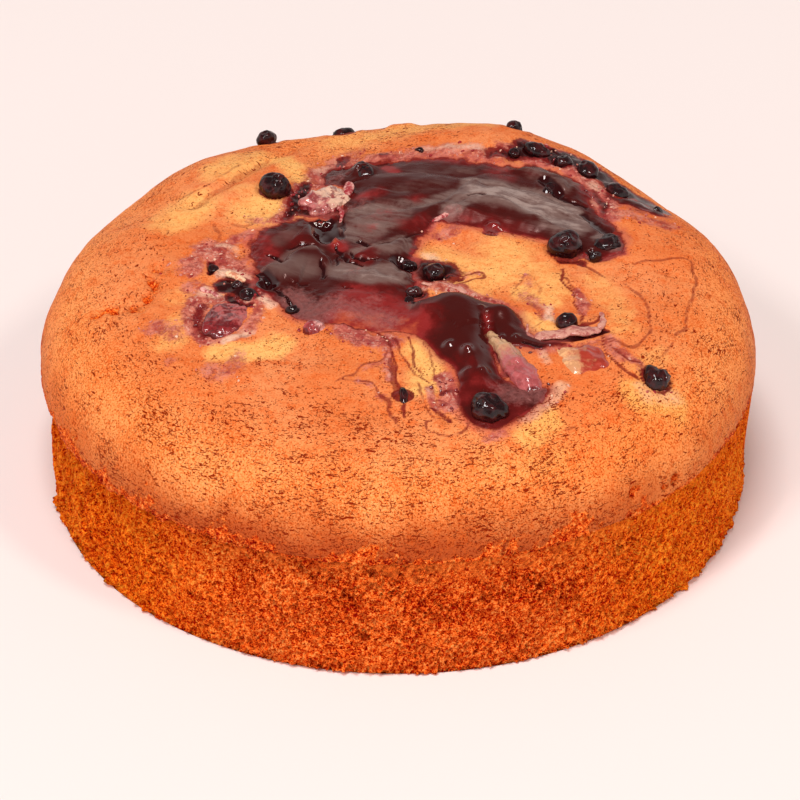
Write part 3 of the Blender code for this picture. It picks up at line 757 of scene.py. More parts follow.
def crust_mesh():
    """Places, faces and bake map of the crust: its dome, torn edge and underside."""
    steps = np.linspace(-1.0, 1.0, 2 * CRUST_STEPS + 1)
    u, v = (side.ravel() for side in np.meshgrid(steps, steps))
    ring = np.maximum(np.abs(u), np.abs(v))
    with np.errstate(divide='ignore', invalid='ignore'):
        across = np.where(u >= 0.0, 0.0, math.pi) + math.pi / 4.0 * v / u
        upright = np.where(v >= 0.0, math.pi / 2.0, -math.pi / 2.0) - math.pi / 4.0 * u / v
        turn = np.where(np.abs(u) >= np.abs(v), across, upright)
    turn[ring == 0.0] = 0.0

    # Rings of points stand evenly along the dome's outline, a little closer at the shoulder
    fine = 1.0 - (1.0 - np.linspace(0.0, 1.0, 6000)) ** 2.5
    profile = LIP_HEIGHT + (CROWN_HEIGHT - LIP_HEIGHT) * dome_rise(fine, SHOULDER) ** CROWN_RISE
    arc = np.concatenate(([0.0], np.cumsum(np.hypot(np.diff(fine * LIP_RADIUS), np.diff(profile)))))
    reach = np.interp(arc[-1] * (0.75 * ring + 0.25 * ring ** 3), arc, fine)
    radius = LIP_RADIUS * reach ** ((SHOULDER - LEAN * np.cos(turn)) / SHOULDER)
    x, y = radius * np.cos(turn), radius * np.sin(turn)
    dome = np.stack((x, y, risen(x, y, dome_rise(reach, SHOULDER))), axis=1)

    index = np.arange(ring.size).reshape(len(steps), len(steps))
    faces = np.stack((index[:-1, :-1], index[:-1, 1:], index[1:, 1:], index[1:, :-1]), axis=-1)
    faces = faces.reshape(-1, 4).tolist()
    square = np.stack((u, v), axis=1)
    rim = np.concatenate((index[0, :-1], index[:-1, -1], index[-1, :0:-1], index[:0:-1, 0]))
    edge = dome[rim]
    proud = lip_stands_proud(np.arctan2(edge[:, 1], edge[:, 0]))
    drop = 2.3 + 1.1 * unevenness(edge, 13.0, 31) + 0.55 * unevenness(edge, 3.4, 32)
    drop = np.clip(drop, 0.7, 4.4) * (0.45 + 0.55 * proud)
    outward = edge[:, :2] / np.linalg.norm(edge[:, :2], axis=1)[:, None]

    # The torn edge and the underside: way in, share of the drop, and rise
    turned_under = ((0.0, 0.30, 0.0), (-0.05, 0.6, 0.0), (-0.15, 0.85, 0.0), (-0.40, 1.0, 0.0),
                    (-0.9, 1.0, 0.3), (-1.9, 0.6, 1.0), (-6.5, 0.0, UNDERSIDE), (-45.0, 0.0, UNDERSIDE))
    places, squares, loops = [dome], [square], [rim]
    count = len(dome)
    for number, (inward, share, lift) in enumerate(turned_under, start=1):
        flat = edge[:, :2] + outward * inward
        places.append(np.column_stack((flat, LIP_HEIGHT - drop * share + lift)))
        squares.append(square[rim] * (1.0 + EDGE_PITCH * number))
        loops.append(count + np.arange(len(rim)))
        count += len(rim)
    for high, low in zip(loops, loops[1:]):
        faces += ring_faces(low, high).tolist()
    corners = TOP_SPOT + TOP_SCALE * np.vstack(squares)[np.asarray(faces).ravel()]
    places.append(np.array([[0.0, 0.0, LIP_HEIGHT + UNDERSIDE]]))
    last = loops[-1]
    faces += np.stack((last, np.full(len(last), count), np.roll(last, -1)), axis=1).tolist()
    cap = UNDERSIDE_SPOT + UNDERSIDE_SCALE * edge[:, :2]
    cap_corners = np.stack((cap, np.full_like(cap, UNDERSIDE_SPOT), np.roll(cap, -1, axis=0)), axis=1)
    return np.vstack(places), faces, np.vstack((corners, cap_corners.reshape(-1, 2))), len(dome)


def left_over(value):
    """What a value leaves of 1, never less than nothing."""
    return calc('SUBTRACT', 1.0, value, clamp=True)


def crust_finish():
    """Browned skin with pale and dusky parts, marks of fruit, swirls and dash-like pores."""
    finish, tree, shader, place = new_finish("browned_crust", 0.55, specular=0.03)
    stain, syrup_and_shade, cream = parts(painted(tree, "marks", "Vector"))
    across, ahead, height = parts(place)
    cloud = noise(place, 24.0, 3.0)
    mottle = noise(place, 4.0, 4.0, 0.65)
    grain = noise(place, 0.8, 3.0, 0.6)
    fray = (mottle - 0.5) * 0.8 + (grain - 0.5) * 0.7

    def frayed(mark, low, high, fraying, most):
        """A painted mark with a frayed edge."""
        return (mark + fray * fraying).rise(low, high) * most

    # The plain skin: browned in clouds, paler where it swelled, dusky low down
    pale = painted(tree, "pale") + (mottle - 0.5) * 0.6
    dusk = 1.0 - (height + (cloud - 0.5) * 16.0).rise(41.0, 56.0)
    colour = laid_over(
        tint(cloud.rise(0.35, 0.65), (0.84, 0.225, 0.052), (0.91, 0.300, 0.086)),
        (mottle.rise(0.50, 0.36) * 0.50, (0.76, 0.125, 0.014)),
        (height.rise(56.0, 68.0), (0.88, 0.81, 1.00), 'MULTIPLY'),
        (pale.rise(0.15, 0.95) * 0.85, (0.94, 0.49, 0.15)),
        (dusk * painted(tree, "dusk"), (0.46, 0.078, 0.017)),
        (noise(place, 1.8, 3.0, 0.65).rise(0.50, 0.62) * 0.30, (0.72, 0.115, 0.012)))

    # Fine light and dark grain, weaker on the crown
    speckle = noise(place, 0.50, 2.0, 0.55)
    grainy = height.rise(67.0, 58.0) * 0.60 + 0.25
    colour = laid_over(
        colour,
        (speckle.rise(0.53, 0.64) * grainy * 0.5 * (1.0 - dusk), (1.0, 0.42, 0.15)),
        (speckle.rise(0.50, 0.40) * grainy, (0.84, 0.66, 0.46), 'MULTIPLY'),
        (speckle.rise(0.42, 0.35) * grainy, (0.66, 0.36, 0.12), 'MULTIPLY'))

    # Stains, creamed batter, syrup with painted shade round the berries' feet, the wet edge of the filling,
    # and the swirls
    mauve = tint(noise(place, 3.6, 3.0, 0.6).rise(0.40, 0.62), (0.36, 0.050, 0.045), (0.64, 0.200, 0.145))
    fleck = noise(place, 1.5, 3.0, 0.65)
    stained = larger(stain, cream).rise(0.35, 0.75)
    reach = painted(tree, "reach")
    swirl_share = frayed(painted(tree, "swirl"), -0.30, 0.22, 0.3, painted(tree, "swirl_strength"))
    colour = laid_over(
        colour,
        (frayed(stain, 0.20, 0.65, 1.1, 0.88), mauve),
        (frayed(stain, 0.65, 1.05, 1.4, 0.70), (0.30, 0.035, 0.040)),
        (frayed(cream, 0.12, 0.90, 0.8, 0.85), (0.84, 0.52, 0.36)),
        (fleck.rise(0.56, 0.62) * stained * 0.35, (0.86, 0.56, 0.44)),
        (fleck.rise(0.44, 0.38) * stained * 0.50, (0.17, 0.012, 0.016)),
        (frayed(syrup_and_shade, 0.30, 0.60, 0.7, 0.95), (0.17, 0.008, 0.008)),
        (frayed(syrup_and_shade, 0.62, 0.95, 0.9, 0.95), (0.020, 0.0012, 0.0016)),
        (frayed(reach, -3.6, -0.6, 2.0, 0.55), (0.46, 0.085, 0.070)),
        (frayed(reach, -1.0, 0.2, 2.0, 0.9), (0.16, 0.008, 0.008)),
        (swirl_share, (0.21, 0.016, 0.012)))

    # A little duller at the right, then the dashes and specks of open pores
    front_right = across.rise(20.0, 52.0) * ahead.rise(-34.0, -60.0) * height.rise(46.0, 54.0)
    back_right = across.rise(55.0, 80.0) * ahead.rise(-12.0, 10.0)
    colour = tint(larger(front_right * 0.8, back_right * 0.6), colour, (0.96, 0.76, 0.58), 'MULTIPLY')
    flow = painted(tree, "flow", "Vector")
    crowd = noise(place, 9.0, 3.0) + (painted(tree, "dusk") * 0.16 - 0.20)
    crowd = crowd - height.rise(65.6, 68.0) * 0.20
    dash_low = 0.700 - crowd * 0.22
    dashes = (noise(flow, 1.25, 2.0, 0.55, 1.1) - dash_low).rise(0.0, 0.045)
    wide_dashes = (noise(flow, 2.1, 3.0, 0.6, 1.8) - (dash_low + 0.05)).rise(0.0, 0.03)
    specks = (noise(place, 0.62) + crowd * 0.20).rise(0.715, 0.75)
    pores = larger(larger(dashes, wide_dashes), specks * 0.8) * left_over(larger(syrup_and_shade, stain))
    colour = tint(pores, colour, (0.25, 0.015, 0.0006))

    tone, tone_height = crumb_look(place, Pit=painted(tree, "pit"))
    bare = (painted(tree, "bare") + fray * 1.4).rise(0.30, 0.70)
    feed(shader, "Base Color", tint(bare, colour, tone))
    skin_height = grain * 0.30 + mottle * 0.6 - pores * 0.4 + grain * larger(stain, cream) * 1.08
    bump(shader, skin_height + tone_height * bare, 0.45)
    feed(shader, "Coat Weight", larger(syrup_and_shade, stain * 0.6).rise(0.35, 0.8) * 0.45)
    return finish


places, faces, corners, dome_count = crust_mesh()
x, y, z = places.T
on_top = np.arange(len(places)) < dome_count
radius = np.hypot(x, y)
steep = soft_step(70.0, 97.0, radius)

reach = filling_reach(x, y, FILLING_RUNS)
strip_reach = filling_reach(x, y, STRIP_RUNS)
wobble_x = x + 0.55 * unevenness(places, 9.0, 36) + 0.16 * unevenness(places, 3.0, 37)
wobble_y = y + 0.55 * unevenness(places, 9.0, 38) + 0.16 * unevenness(places, 3.0, 39)
swirl = np.full(len(x), -9.0)
swirl_strength = np.zeros(len(x))
for half_width, strength, *line in SWIRLS:
    signed, share = path_sides(wobble_x, wobble_y, line)
    swell = 1.0 + 0.22 * unevenness(places, 6.0, 40) - 0.5 * soft_step(0.85, 1.0, share)
    inside = half_width * swell - np.abs(signed)
    nearer = inside > swirl
    swirl[nearer] = inside[nearer]
    swirl_strength[nearer] = strength
crease = path_distance(x, y, CREASE)
crack = path_distance(x, y, CRACK)
stain = strokes(wobble_x, wobble_y, STAINS)
syrup_and_shade = strokes(wobble_x, wobble_y, SYRUPS)
cream = strokes(wobble_x, wobble_y, CREAMS)

sunk = 2.4 * soft_step(0.3, 2.4, reach) + 2.0 * soft_step(0.2, 1.6, strip_reach)
sunk += 0.28 * soft_step(-0.5, 0.8, swirl)
sunk += 0.9 * bell(crease / 2.4) - 0.5 * bell((crease - 4.5) / 3.2)
rough_crack = bell(crack / 2.2) * (0.7 + 0.5 * unevenness(places, 3.0, 41))
sunk += 1.9 * np.clip(rough_crack, 0.0, 1.2) - ripple(x, y) + 0.7 * syrup_and_shade
crumbly = np.clip(np.maximum(stain, cream), 0.0, 0.9) * (1.0 - soft_step(-0.6, 0.4, swirl))
sunk -= crumbly * (0.35 * unevenness(places, 4.2, 46) + 0.26 * unevenness(places, 1.8, 47) + 0.30)
sunk -= 1.9 * np.exp(-((x + 4.0) ** 2 + (y - 60.5) ** 2) / 5.5)
sunk -= 2.2 * np.exp(-((x - 1.0) / 4.6) ** 4 - ((y - 86.5) / 3.0) ** 2)
for node in BERRIES:
    middle, half, _ = berry_frame(node)
    away = np.hypot(x - middle[0], y - middle[1]) - half[:2].mean()
    sunk += 0.4 * bell(away / 0.6) - 0.45 * bell((away - 1.6) / 1.2)
    # Painted shade: a dark ring round the foot of every berry, partly syrup and partly contact shade where
    # the berry meets the crust
    syrup_and_shade = np.maximum(syrup_and_shade, 0.60 * bell(np.maximum(away, 0.0) / 0.45))
sunk *= on_top
z -= sunk * (1.0 - steep)
inward = sunk * steep * 0.6
holes = np.zeros(len(x))
for hole_x, hole_y, hole_z, wide, deep in WALL_HOLES:
    away = np.sqrt((wobble_x - hole_x) ** 2 + (wobble_y - hole_y) ** 2 + (z - hole_z) ** 2) / wide
    inward += on_top * deep * bell(away, 4)
    holes = np.maximum(holes, bell(away / 1.15, 6))
x *= 1.0 - inward / np.maximum(radius, 1.0)
y *= 1.0 - inward / np.maximum(radius, 1.0)

ragged = LIP_HEIGHT + 0.8 + 2.6 * unevenness(places, 15.0, 44) + 1.5 * unevenness(places, 4.0, 45)
ragged += 0.8 * unevenness(places, 1.8, 48)
bare = np.maximum(np.clip(rough_crack, 0.0, 1.0) * 0.9, holes)
bare = np.maximum(bare, 1.0 - soft_step(-3.4, 3.4, z - ragged))
bare[~on_top] = np.where(z[~on_top] < LIP_HEIGHT, 1.0, 0.0)
turn = np.arctan2(y, x)
upright = (radius - 1.2 * z) / FLOW_UPRIGHT
flow = np.column_stack((FLOW_ROUND * np.cos(turn), FLOW_ROUND * np.sin(turn), upright))

skin = crust_finish()
crust = add_piece("cake_crust", np.stack((x, y, z), axis=1), faces, skin, corners)
paint(crust, "reach", np.maximum(reach, strip_reach))
paint(crust, "swirl", swirl)
paint(crust, "swirl_strength", swirl_strength * on_top)
paint(crust, "marks", np.stack((stain, syrup_and_shade, cream), axis=1) * on_top[:, None])
paint(crust, "pale", strokes(wobble_x, wobble_y, PALES) * on_top)
paint(crust, "bare", np.clip(bare, 0.0, 1.0))
paint(crust, "dusk", 0.28 + 0.72 * bell(angle_from(turn, DUSK_TURN) / DUSK_SPREAD, 4))
paint(crust, "flow", flow)
grow(crust, open_crumb, Finish=skin, Skin=0.07, Pore_Depth=0.6, Hole_Depth=0.9)
settle_piece(crust, "crust", "cake")


# ---- The fruit filling ------------------------------------------------------
# Wet, almost black fruit filling that welled up through the batter: lobes that
# folded over each other, red where it is thin, and a long drip to the front.

FILLING_GRID = 0.42
SKIRT = 1.4                  # how far the filling reaches in under the crust's edge
FILLING_THICK = 3.4
STRAND_COS = 0.94            # the streaks of the relief and of the painted sheen lie slanted
STRAND_SIN = 0.34
STRAND_DRAWN = 0.22          # their width as a share of their length

# Rounded bodies: rise, width of the rounded edge, and their line with its half-widths
LOBES = (
    (2.4, 7.0, (8, -27, 6.5), (15, -26, 9.5), (17.5, -34, 8.5), (19, -44, 6.6), (21.5, -54, 5.4), (23, -60,
     4.5)), (1.5, 4.4, (28, -26, 5.2), (29.5, -32, 4.2)), (2.3, 5.0, (-10.5, 53.0, 5.0), (-9.5, 53.0, 5.0)),
    (1.3, 2.4, (-17.2, 11.5, 2.2), (-16.6, 10.5, 2.2)),
    (1.3, 6.5, (16, 33, 3.5), (28, 30, 6.0), (38, 24, 6.5), (45, 17, 5.0)),
    (0.8, 3.5, (57, 13, 4.5), (58, 12, 4.5)), (1.2, 2.6, (25.2, 19.6, 2.6), (27.6, 18.8, 2.2)),
)
# Overlapping edges, raised on the right of each line: height, widths of the rise and of
# the fall, and points
LEDGES = (
    (2.0, 2.2, 10.0, -39, -8, -38, -4, -36, -1.2, -33.5, -0.4, -31.5, 0.6, -30, 4.5, -27, 7.6, -23.5, 8.2,
     -20.5, 5.5, -18.8, 1, -18, -4),
    (1.5, 2.4, 7.0, -14, 1, -11.5, 6, -8, 8.5, -3, 10.5, 2, 13.5, 5.5, 15, 9, 13.5),
    (2.0, 3.2, 15.0, 1.5, -24, 3.5, -21.3, 7, -18.6, 11, -16.3, 15, -15.2, 19, -16.8, 23, -19.2, 27, -20.2,
     31, -22, 33, -26, 34, -32),
    (1.6, 7.0, 10.0, 2, 29, 8, 30.5, 13, 33, 17.5, 37.5, 21.5, 42.5, 25, 38.5, 33, 38, 40, 36, 46, 31, 50,
     26), (1.2, 7.0, 9.0, 11, 25, 18, 30, 24, 31, 30, 30, 36, 26, 41, 21.5, 44, 18),
    (1.5, 5.5, 9.0, 29, 49, 32.5, 53, 38, 55, 44, 53.5, 48.5, 48, 50.5, 41, 50, 34),
    (1.6, 2.4, 8.0, -5, 3, -1, 0, 3, -4.5, 7, -7, 10, -10),
    (1.0, 3.0, 6.0, -30, 21, -24, 24, -21, 22, -21.5, 16, -22, 10),
    (1.1, 7.0, 10.0, -14, 45, -4, 49, 6, 48, 16, 45, 26, 45.5, 34, 45),
    (0.8, 6.0, 8.0, -15, 22, -8, 27, 0, 28, 6, 30), (0.9, 3.5, 6.0, -16, -5, -10, -3, -5, -5, 0, -9),
    (0.6, 6.0, 7.0, -14, 38, -8, 40, -2, 38, 4, 38),
)
# Low folds: height, half-width and points
FOLDS = (
    (0.45, 0.9, -15, -3.5, -10, -1.5, -4, -3, 1, -6), (0.40, 0.8, -18, -8, -12, -7, -6, -9),
    (0.35, 0.8, -26, -16, -18, -15, -10, -17, -5, -16),
    (0.45, 1.0, 10, 36, 18, 35, 28, 34.5, 38, 31, 45, 26), (0.40, 0.9, 24, 41, 34, 41, 44, 37, 50, 31),
    (0.35, 1.0, 6, 41, 14, 42, 19, 40), (0.35, 1.1, -10, 31, -3, 33, 4, 34),
    (0.35, 0.9, -13, 27, -6, 23, 2, 20, 8, 21), (0.35, 0.9, 36, 48, 41, 44, 46, 42),
)
# Splits and hollows, painted nearly black inside as shade: depth, half-width and points
SPLITS = (
    (0.8, 0.6, -20.8, 0.5, -20.3, -3, -20.6, -6.5), (1.0, 0.8, -34, 4.6, -32, 2.4, -30.8, 1.0),
    (0.7, 0.5, -36, 5.6, -34.5, 5.4), (0.7, 0.5, -29.5, 8.6, -26.5, 10.6, -23, 10.4),
    (2.2, 3.4, -21, 22, -20.5, 18.5, -19.5, 15), (0.6, 0.7, -15.6, 24, -15.2, 19, -15.4, 14),
    (0.9, 0.6, -17, 9, -15, 4, -12.5, 1, -10, -1), (0.8, 0.5, -16.4, 4, -16.8, 0.5),
    (1.1, 0.9, -10.4, 12.6, -8.6, 10.6, -6.4, 9.6), (0.5, 0.45, -5, 11.5, -1, 13, 3, 15.4, 6, 16.6),
    (0.8, 0.5, -12.6, 6, -12, 3.2, -8.5, 2.0), (0.7, 0.4, -9.5, 2.6, -6, 1.8),
    (0.6, 0.5, -14.8, -11.6, -12.4, -12.4), (2.4, 2.6, -37.5, -6.5, -35.5, -9.5),
    (0.9, 0.8, -34, -12, -31, -15, -27.5, -22), (2.0, 2.4, 0.5, 2.5, 4, 0, 8, -3),
    (1.4, 1.8, 41, 43, 43, 39.5, 44.5, 37), (0.7, 0.9, 44, 36, 48, 33.5, 52, 31),
    (0.6, 0.5, 19.5, 32, 23.5, 32.6), (0.6, 1.4, 52, 27, 55, 21, 59.5, 15),
    (0.5, 0.5, -14, 44.5, -11.5, 46, -9, 46.2), (1.0, 1.2, 53, 8, 54, 3.5, 52, 1),
    (0.8, 0.7, 8.6, 17.6, 10.4, 18.6, 12.4, 19.8), (0.5, 0.4, -28, -10, -25, -9),
    (1.6, 1.4, 4, -15, 5.4, -18.5), (0.9, 0.6, 34, -38.5, 40, -41.5, 45, -41),
)
# A dip where the filling parts over a piece of plum: depth, half-width and points
PARTING = (2.2, 1.5, 24.0, -28.5, 24.4, -32, 25.4, -37, 27, -41)
# Drops and wavelets standing on it: half-width, height and places
DROPS = (
    (1.6, 1.15, 13.5, -41.5, 18.5, -45.5, 18.0, -53.6), (1.3, 0.95, 23, -53.5, 31.5, -42, 27.8, -36),
    (1.1, 0.85, 23, -25.5, 24.5, -28.5, 31.8, -36), (2.4, 1.60, 26.2, 18.8),
    (1.1, 0.95, -8.5, 50.2, -11.4, 51.4, -17.4, 12.4),
)
# Radius, strength and points of thin places where red shows, of clouded ones where batter
# foamed into the filling, and of broad parts where a grey-brown sheen is painted
THINS = (
    (4.6, 0.62, -39, 15, -37, 9, -36, 4), (5.0, 0.35, -30, 13), (3.0, 0.8, -17.5, 13, -16, 9),
    (3.0, 0.50, -2, 22, 4, 20, 7, 22), (2.2, 1.0, -17, 11.2), (1.6, 0.6, -20.5, 21, -20, 16),
    (5.5, 0.50, -9, 19, -3, 26), (2.6, 0.62, -10, 35, -5, 37), (2.0, 0.8, -3, 53, -1, 50),
    (3.0, 0.5, 5, 33), (3.0, 0.62, 5, 59, 14, 56.5, 24, 54, 30, 50), (3.5, 0.5, 27, 47, 30, 44),
    (3.0, 0.3, 38, 47), (3.0, 0.50, 13, 21, 18, 22.5, 24, 21, 31, 18), (2.6, 0.66, 26.2, 18.6),
    (2.6, 0.4, 33, 18, 38, 15), (7.0, 0.75, -12, -17, -6, -19, -2, -21),
    (7.0, 1.0, -14, -27, -5, -28, 3, -31), (5.0, 1.15, -16, -31, -8, -34, -1, -34),
    (2.6, 0.40, 2, -28, 5, -33), (4.0, 0.55, 14, -57, 17, -62), (5.0, 0.40, 24, -73, 31, -69),
    (3.0, 0.55, 21, -57.5, 26, -58.5), (3.5, 0.65, 53, 42, 57, 32, 60, 24), (2.6, 0.55, 61, 8, 56, 4),
    (2.5, 0.6, 9, -15, 6, -19), (1.5, 0.62, 24, -28, 24.4, -32, 25, -36), (3.0, 0.25, 17, -46, 20, -54),
    (4.0, 0.45, -8, 8, -12, -5),
)
CLOUDS = (
    (5.0, 0.8, -11, -23, -3, -27), (6.0, 0.85, -28, -17, -24, -23, -18, -21),
    (3.0, 0.6, -15, -19, -10, -21, -6, -18), (5.5, 0.75, 30, -61, 37, -60.5), (3.0, 0.8, 12, 22, 15, 26),
    (3.5, 0.6, -20, 45, -16, 50), (3.5, 0.7, 54, 48, 57, 38), (3.5, 0.55, -42, 12, -41, 4),
    (2.4, 0.7, 8, -15, 12, -18), (2.4, 0.55, -14, 29, -9, 32), (3.0, 0.5, 2, 60, 14, 60),
    (3.0, 0.6, 60, 16, 60, 11), (2.4, 0.5, 6, 12, 10, 16), (2.4, 0.6, 14, -60, 13, -66),
)
SHEEN_STROKES = (
    (6.5, 0.95, 24, 35, 32, 33, 40, 29, 47, 22), (3.0, 0.95, 15, 27, 20, 31, 27, 32, 35, 28, 42, 22),
    (2.6, 0.62, -12, 27, -2, 30, 8, 31, 16, 35), (2.4, 0.8, 20, 42, 26, 38.5, 36, 37, 46, 31, 52, 24),
    (6.5, 0.66, -11, 17, -9, 20, -3, 26), (4.0, 0.22, 0, 38, 12, 40),
    (2.4, 0.5, 30, 50, 36, 54, 44, 53, 50, 44), (3.0, 0.25, -4, 47, 8, 50, 20, 48),
    (4.2, 0.85, -15, -3, -8, -6, 0, -6), (3.5, 0.45, -4, 7, 2, 11),
    (2.0, 0.45, -38, -4, -33, 1, -28, 7, -22, 7), (2.0, 0.6, -12, 6, -6, 10, 2, 14),
    (2.2, 0.55, 4, -20.5, 10, -17.6, 17, -17.6, 25, -20.5), (3.0, 0.5, 56, 15, 60, 11),
    (4.0, 0.42, 38, 48, 46, 40), (5.5, 0.50, -32, -3, -26, -2), (3.0, 0.35, -33, 12, -29, 17),
)


def rounded(share):
    """A quarter-round rise from 0 to 1."""
    share = np.clip(share, 0.0, 1.0)
    return np.sqrt(1.0 - (1.0 - share) ** 2)


def split_depth(x, y):
    """Depth of the splits and hollows, with torn edges."""
    torn_x = x + 0.35 * plan_bumps(x, y, 3.6, 54) + 0.06 * plan_bumps(x, y, 1.9, 55)
    torn_y = y + 0.35 * plan_bumps(x, y, 3.6, 56) + 0.06 * plan_bumps(x, y, 1.9, 57)
    depth = np.zeros_like(x)
    for deep, half_width, *line in SPLITS:
        if half_width > 1.5:
            mark = bell(path_distance(x, y, line) / half_width, 3)
        else:
            mark = bell(path_distance(torn_x, torn_y, line) / half_width, 4)
        depth = np.maximum(depth, deep * mark)
    return depth


def standing_drops(x, y):
    """For each drop its height and the distance from it, in half-widths."""
    for half_width, height, *spots in DROPS:
        for drop_x, drop_y in zip(spots[::2], spots[1::2]):
            yield height, np.hypot(x - drop_x, y - drop_y) / half_width


def filling_top(x, y, runs, rise, edge):
    """Height of the filling's surface, dipping under the crust outside its outline."""
    inside = filling_reach(x, y, runs)
    well_in = soft_step(0.0, 2.5, inside)
    bend_x = x + 0.6 * plan_bumps(x, y, 8.0, 58)
    bend_y = y + 0.6 * plan_bumps(x, y, 8.0, 59)
    crisp = np.exp(-((x - 18.0) / 19.0) ** 4 - ((y + 38.0) / 26.0) ** 4)
    lift = rise * (crisp * rounded(inside / edge) + (1.0 - crisp) * soft_step(-0.4, 1.6 * edge, inside))
    lift += np.minimum(inside, 0.0) * 1.5
    tallest = np.zeros_like(x)
    for lobe_rise, lobe_edge, *lobe in LOBES:
        reach = run_reach(x, y, [lobe], 0.8)
        tallest = np.maximum(tallest, lobe_rise * soft_step(-0.6, lobe_edge, reach))
    lift += tallest * soft_step(-0.5, 3.5, inside)
    eased = crisp * soft_step(0.0, 1.2, inside) + (1.0 - crisp) * soft_step(0.0, 5.0, inside)
    for height, lip, fall, *line in LEDGES:
        signed, share = path_sides(bend_x, bend_y, line)
        ends = soft_step(0.0, 0.14, share) * (1.0 - soft_step(0.86, 1.0, share))
        raised = rounded(signed / lip) * bell(np.maximum(signed - 0.5 * lip, 0.0) / fall)
        lift += eased * height * ends * raised
    for height, half_width, *line in FOLDS:
        lift += well_in * 0.45 * height * bell(path_distance(bend_x, bend_y, line) / (2.6 * half_width))
    along, across = STRAND_COS * x + STRAND_SIN * y, STRAND_COS * y - STRAND_SIN * x
    streaks = plan_bumps(STRAND_DRAWN * along, across, 5.0, 51)
    front = np.exp(-((x - 18.0) / 12.0) ** 2 - ((y + 38.0) / 20.0) ** 2)
    lift += well_in * 0.045 * streaks * (soft_step(8.0, 24.0, y) + 0.35) * (1.0 - front)
    lift += well_in * 0.13 * plan_bumps(x, y, 13.0, 52) * (1.0 - 0.9 * front)
    foam = 0.22 * plan_bumps(x, y, 2.4, 53) + 0.16 * plan_bumps(x, y, 1.5, 60)
    lift += well_in * foam * strokes(x, y, CLOUDS)
    for height, away in standing_drops(x, y):
        lift += height * np.exp(-1.2 * away ** 2.5)
    lift -= well_in * split_depth(x, y)
    deep, half_width, *line = PARTING
    lift -= well_in * deep * bell(path_distance(x, y, line) / half_width)
    return crown_height(x, y) + ripple(x, y, 1.0 - soft_step(0.0, 4.0, inside)) + lift


def filling_mesh(runs, rise, edge):
    """A closed sheet of filling over a fine plan grid."""
    marks = np.array([point for run in runs for point in run])
    margin = marks[:, 2].max() + 3.0
    low, high = marks[:, :2].min(axis=0) - margin, marks[:, :2].max(axis=0) + margin
    x, y = np.meshgrid(np.arange(low[0], high[0], FILLING_GRID), np.arange(low[1], high[1], FILLING_GRID))
    keep = filling_reach(x, y, runs) > -SKIRT
    cell = keep[:-1, :-1] & keep[:-1, 1:] & keep[1:, :-1] & keep[1:, 1:]
    for _ in range(6):     # fill in wherever two cells touch only at a corner
        crossed = cell[:-1, :-1] & cell[1:, 1:] & ~cell[1:, :-1] & ~cell[:-1, 1:]
        crossed |= ~cell[:-1, :-1] & ~cell[1:, 1:] & cell[1:, :-1] & cell[:-1, 1:]
        cell[:-1, :-1][crossed] = True
        cell[1:, 1:][crossed] = True
    index = np.arange(x.size).reshape(x.shape)
    quads = np.stack((index[:-1, :-1], index[:-1, 1:], index[1:, 1:], index[1:, :-1]), axis=-1)[cell]
    used, quads = np.unique(quads, return_inverse=True)
    quads = quads.reshape(-1, 4)
    x, y = x.ravel()[used], y.ravel()[used]
    top = filling_top(x, y, runs, rise, edge)
    bottom = np.minimum(top - 0.8, crown_height(x, y) - FILLING_THICK)
    sides = {}
    for quad in quads.tolist():
        for start, end in zip(quad, quad[1:] + quad[:1]):
            if sides.pop((end, start), None) is None:
                sides[start, end] = True
    count = len(x)
    faces = quads.tolist() + (quads[:, ::-1] + count).tolist()
    faces += [(end, start, start + count, end + count) for start, end in sides]
    return np.vstack((np.column_stack((x, y, top)), np.column_stack((x, y, bottom)))), faces


def filling_finish(name):
    """Wet filling: near black where thick, red where thin, mauve where batter clouds it, with painted sheen
    on broad parts and painted shade in the splits.
    """
    finish, tree, shader, place = new_finish(name, 0.10, coat_roughness=0.03, specular=0.17)
    shader.inputs["Specular Tint"].default_value = (1.0, 0.64, 0.58, 1.0)
    thinness, cloudiness, split = parts(painted(tree, "marks", "Vector"))
    satin = painted(tree, "satin")
    mottle = noise(place, 4.5, 3.0, 0.6)
    fine = noise(place, 1.3, 3.0, 0.65)
    streak = noise(painted(tree, "strand", "Vector"), 3.0, 3.0, 0.6, 0.6)
    wander = (mottle - 0.5) * 0.7 + (fine - 0.5) * 0.3
    thin = thinness + wander
    # Painted sheen: 'skin' marks broad parts painted grey-brown, paler in streaks, standing in for the
    # room's reflection on the filling
    uneven = ((streak - 0.5) * 1.5 + wander) * satin ** 2.0
    skin = painted(tree, "skin") * (uneven * 2.0 + 1.0)
    cloudy = cloudiness + (fine - 0.5) * 1.1
    feed(shader, "Base Color", laid_over(
        tint(thin.rise(0.05, 0.45), (0.056, 0.0062, 0.0052), (0.100, 0.0060, 0.0054)),
        (skin.rise(0.10, 0.70) * 0.90, (0.170, 0.096, 0.082)),
        (skin.rise(0.65, 1.45) * 0.90, (0.360, 0.250, 0.218)),
        (thin.rise(0.40, 0.80), (0.24, 0.017, 0.016)),
        (thin.rise(0.85, 1.15), (0.46, 0.075, 0.032)),
        (cloudy.rise(0.30, 0.95) * 0.60, (0.32, 0.105, 0.095)),
        # Painted shade in the splits and hollows
        (split.rise(0.15, 0.7), (0.024, 0.0010, 0.0014))))
    feed(shader, "Roughness", satin * left_over(split) * mottle.rise(0.20, 0.50) * 0.28 + 0.07)
    feed(shader, "Coat Weight", painted(tree, "wet"))
    bump(shader, fine * (cloudiness * 1.6 + 0.04) + streak * (satin * 0.5), 0.35)
    return finish


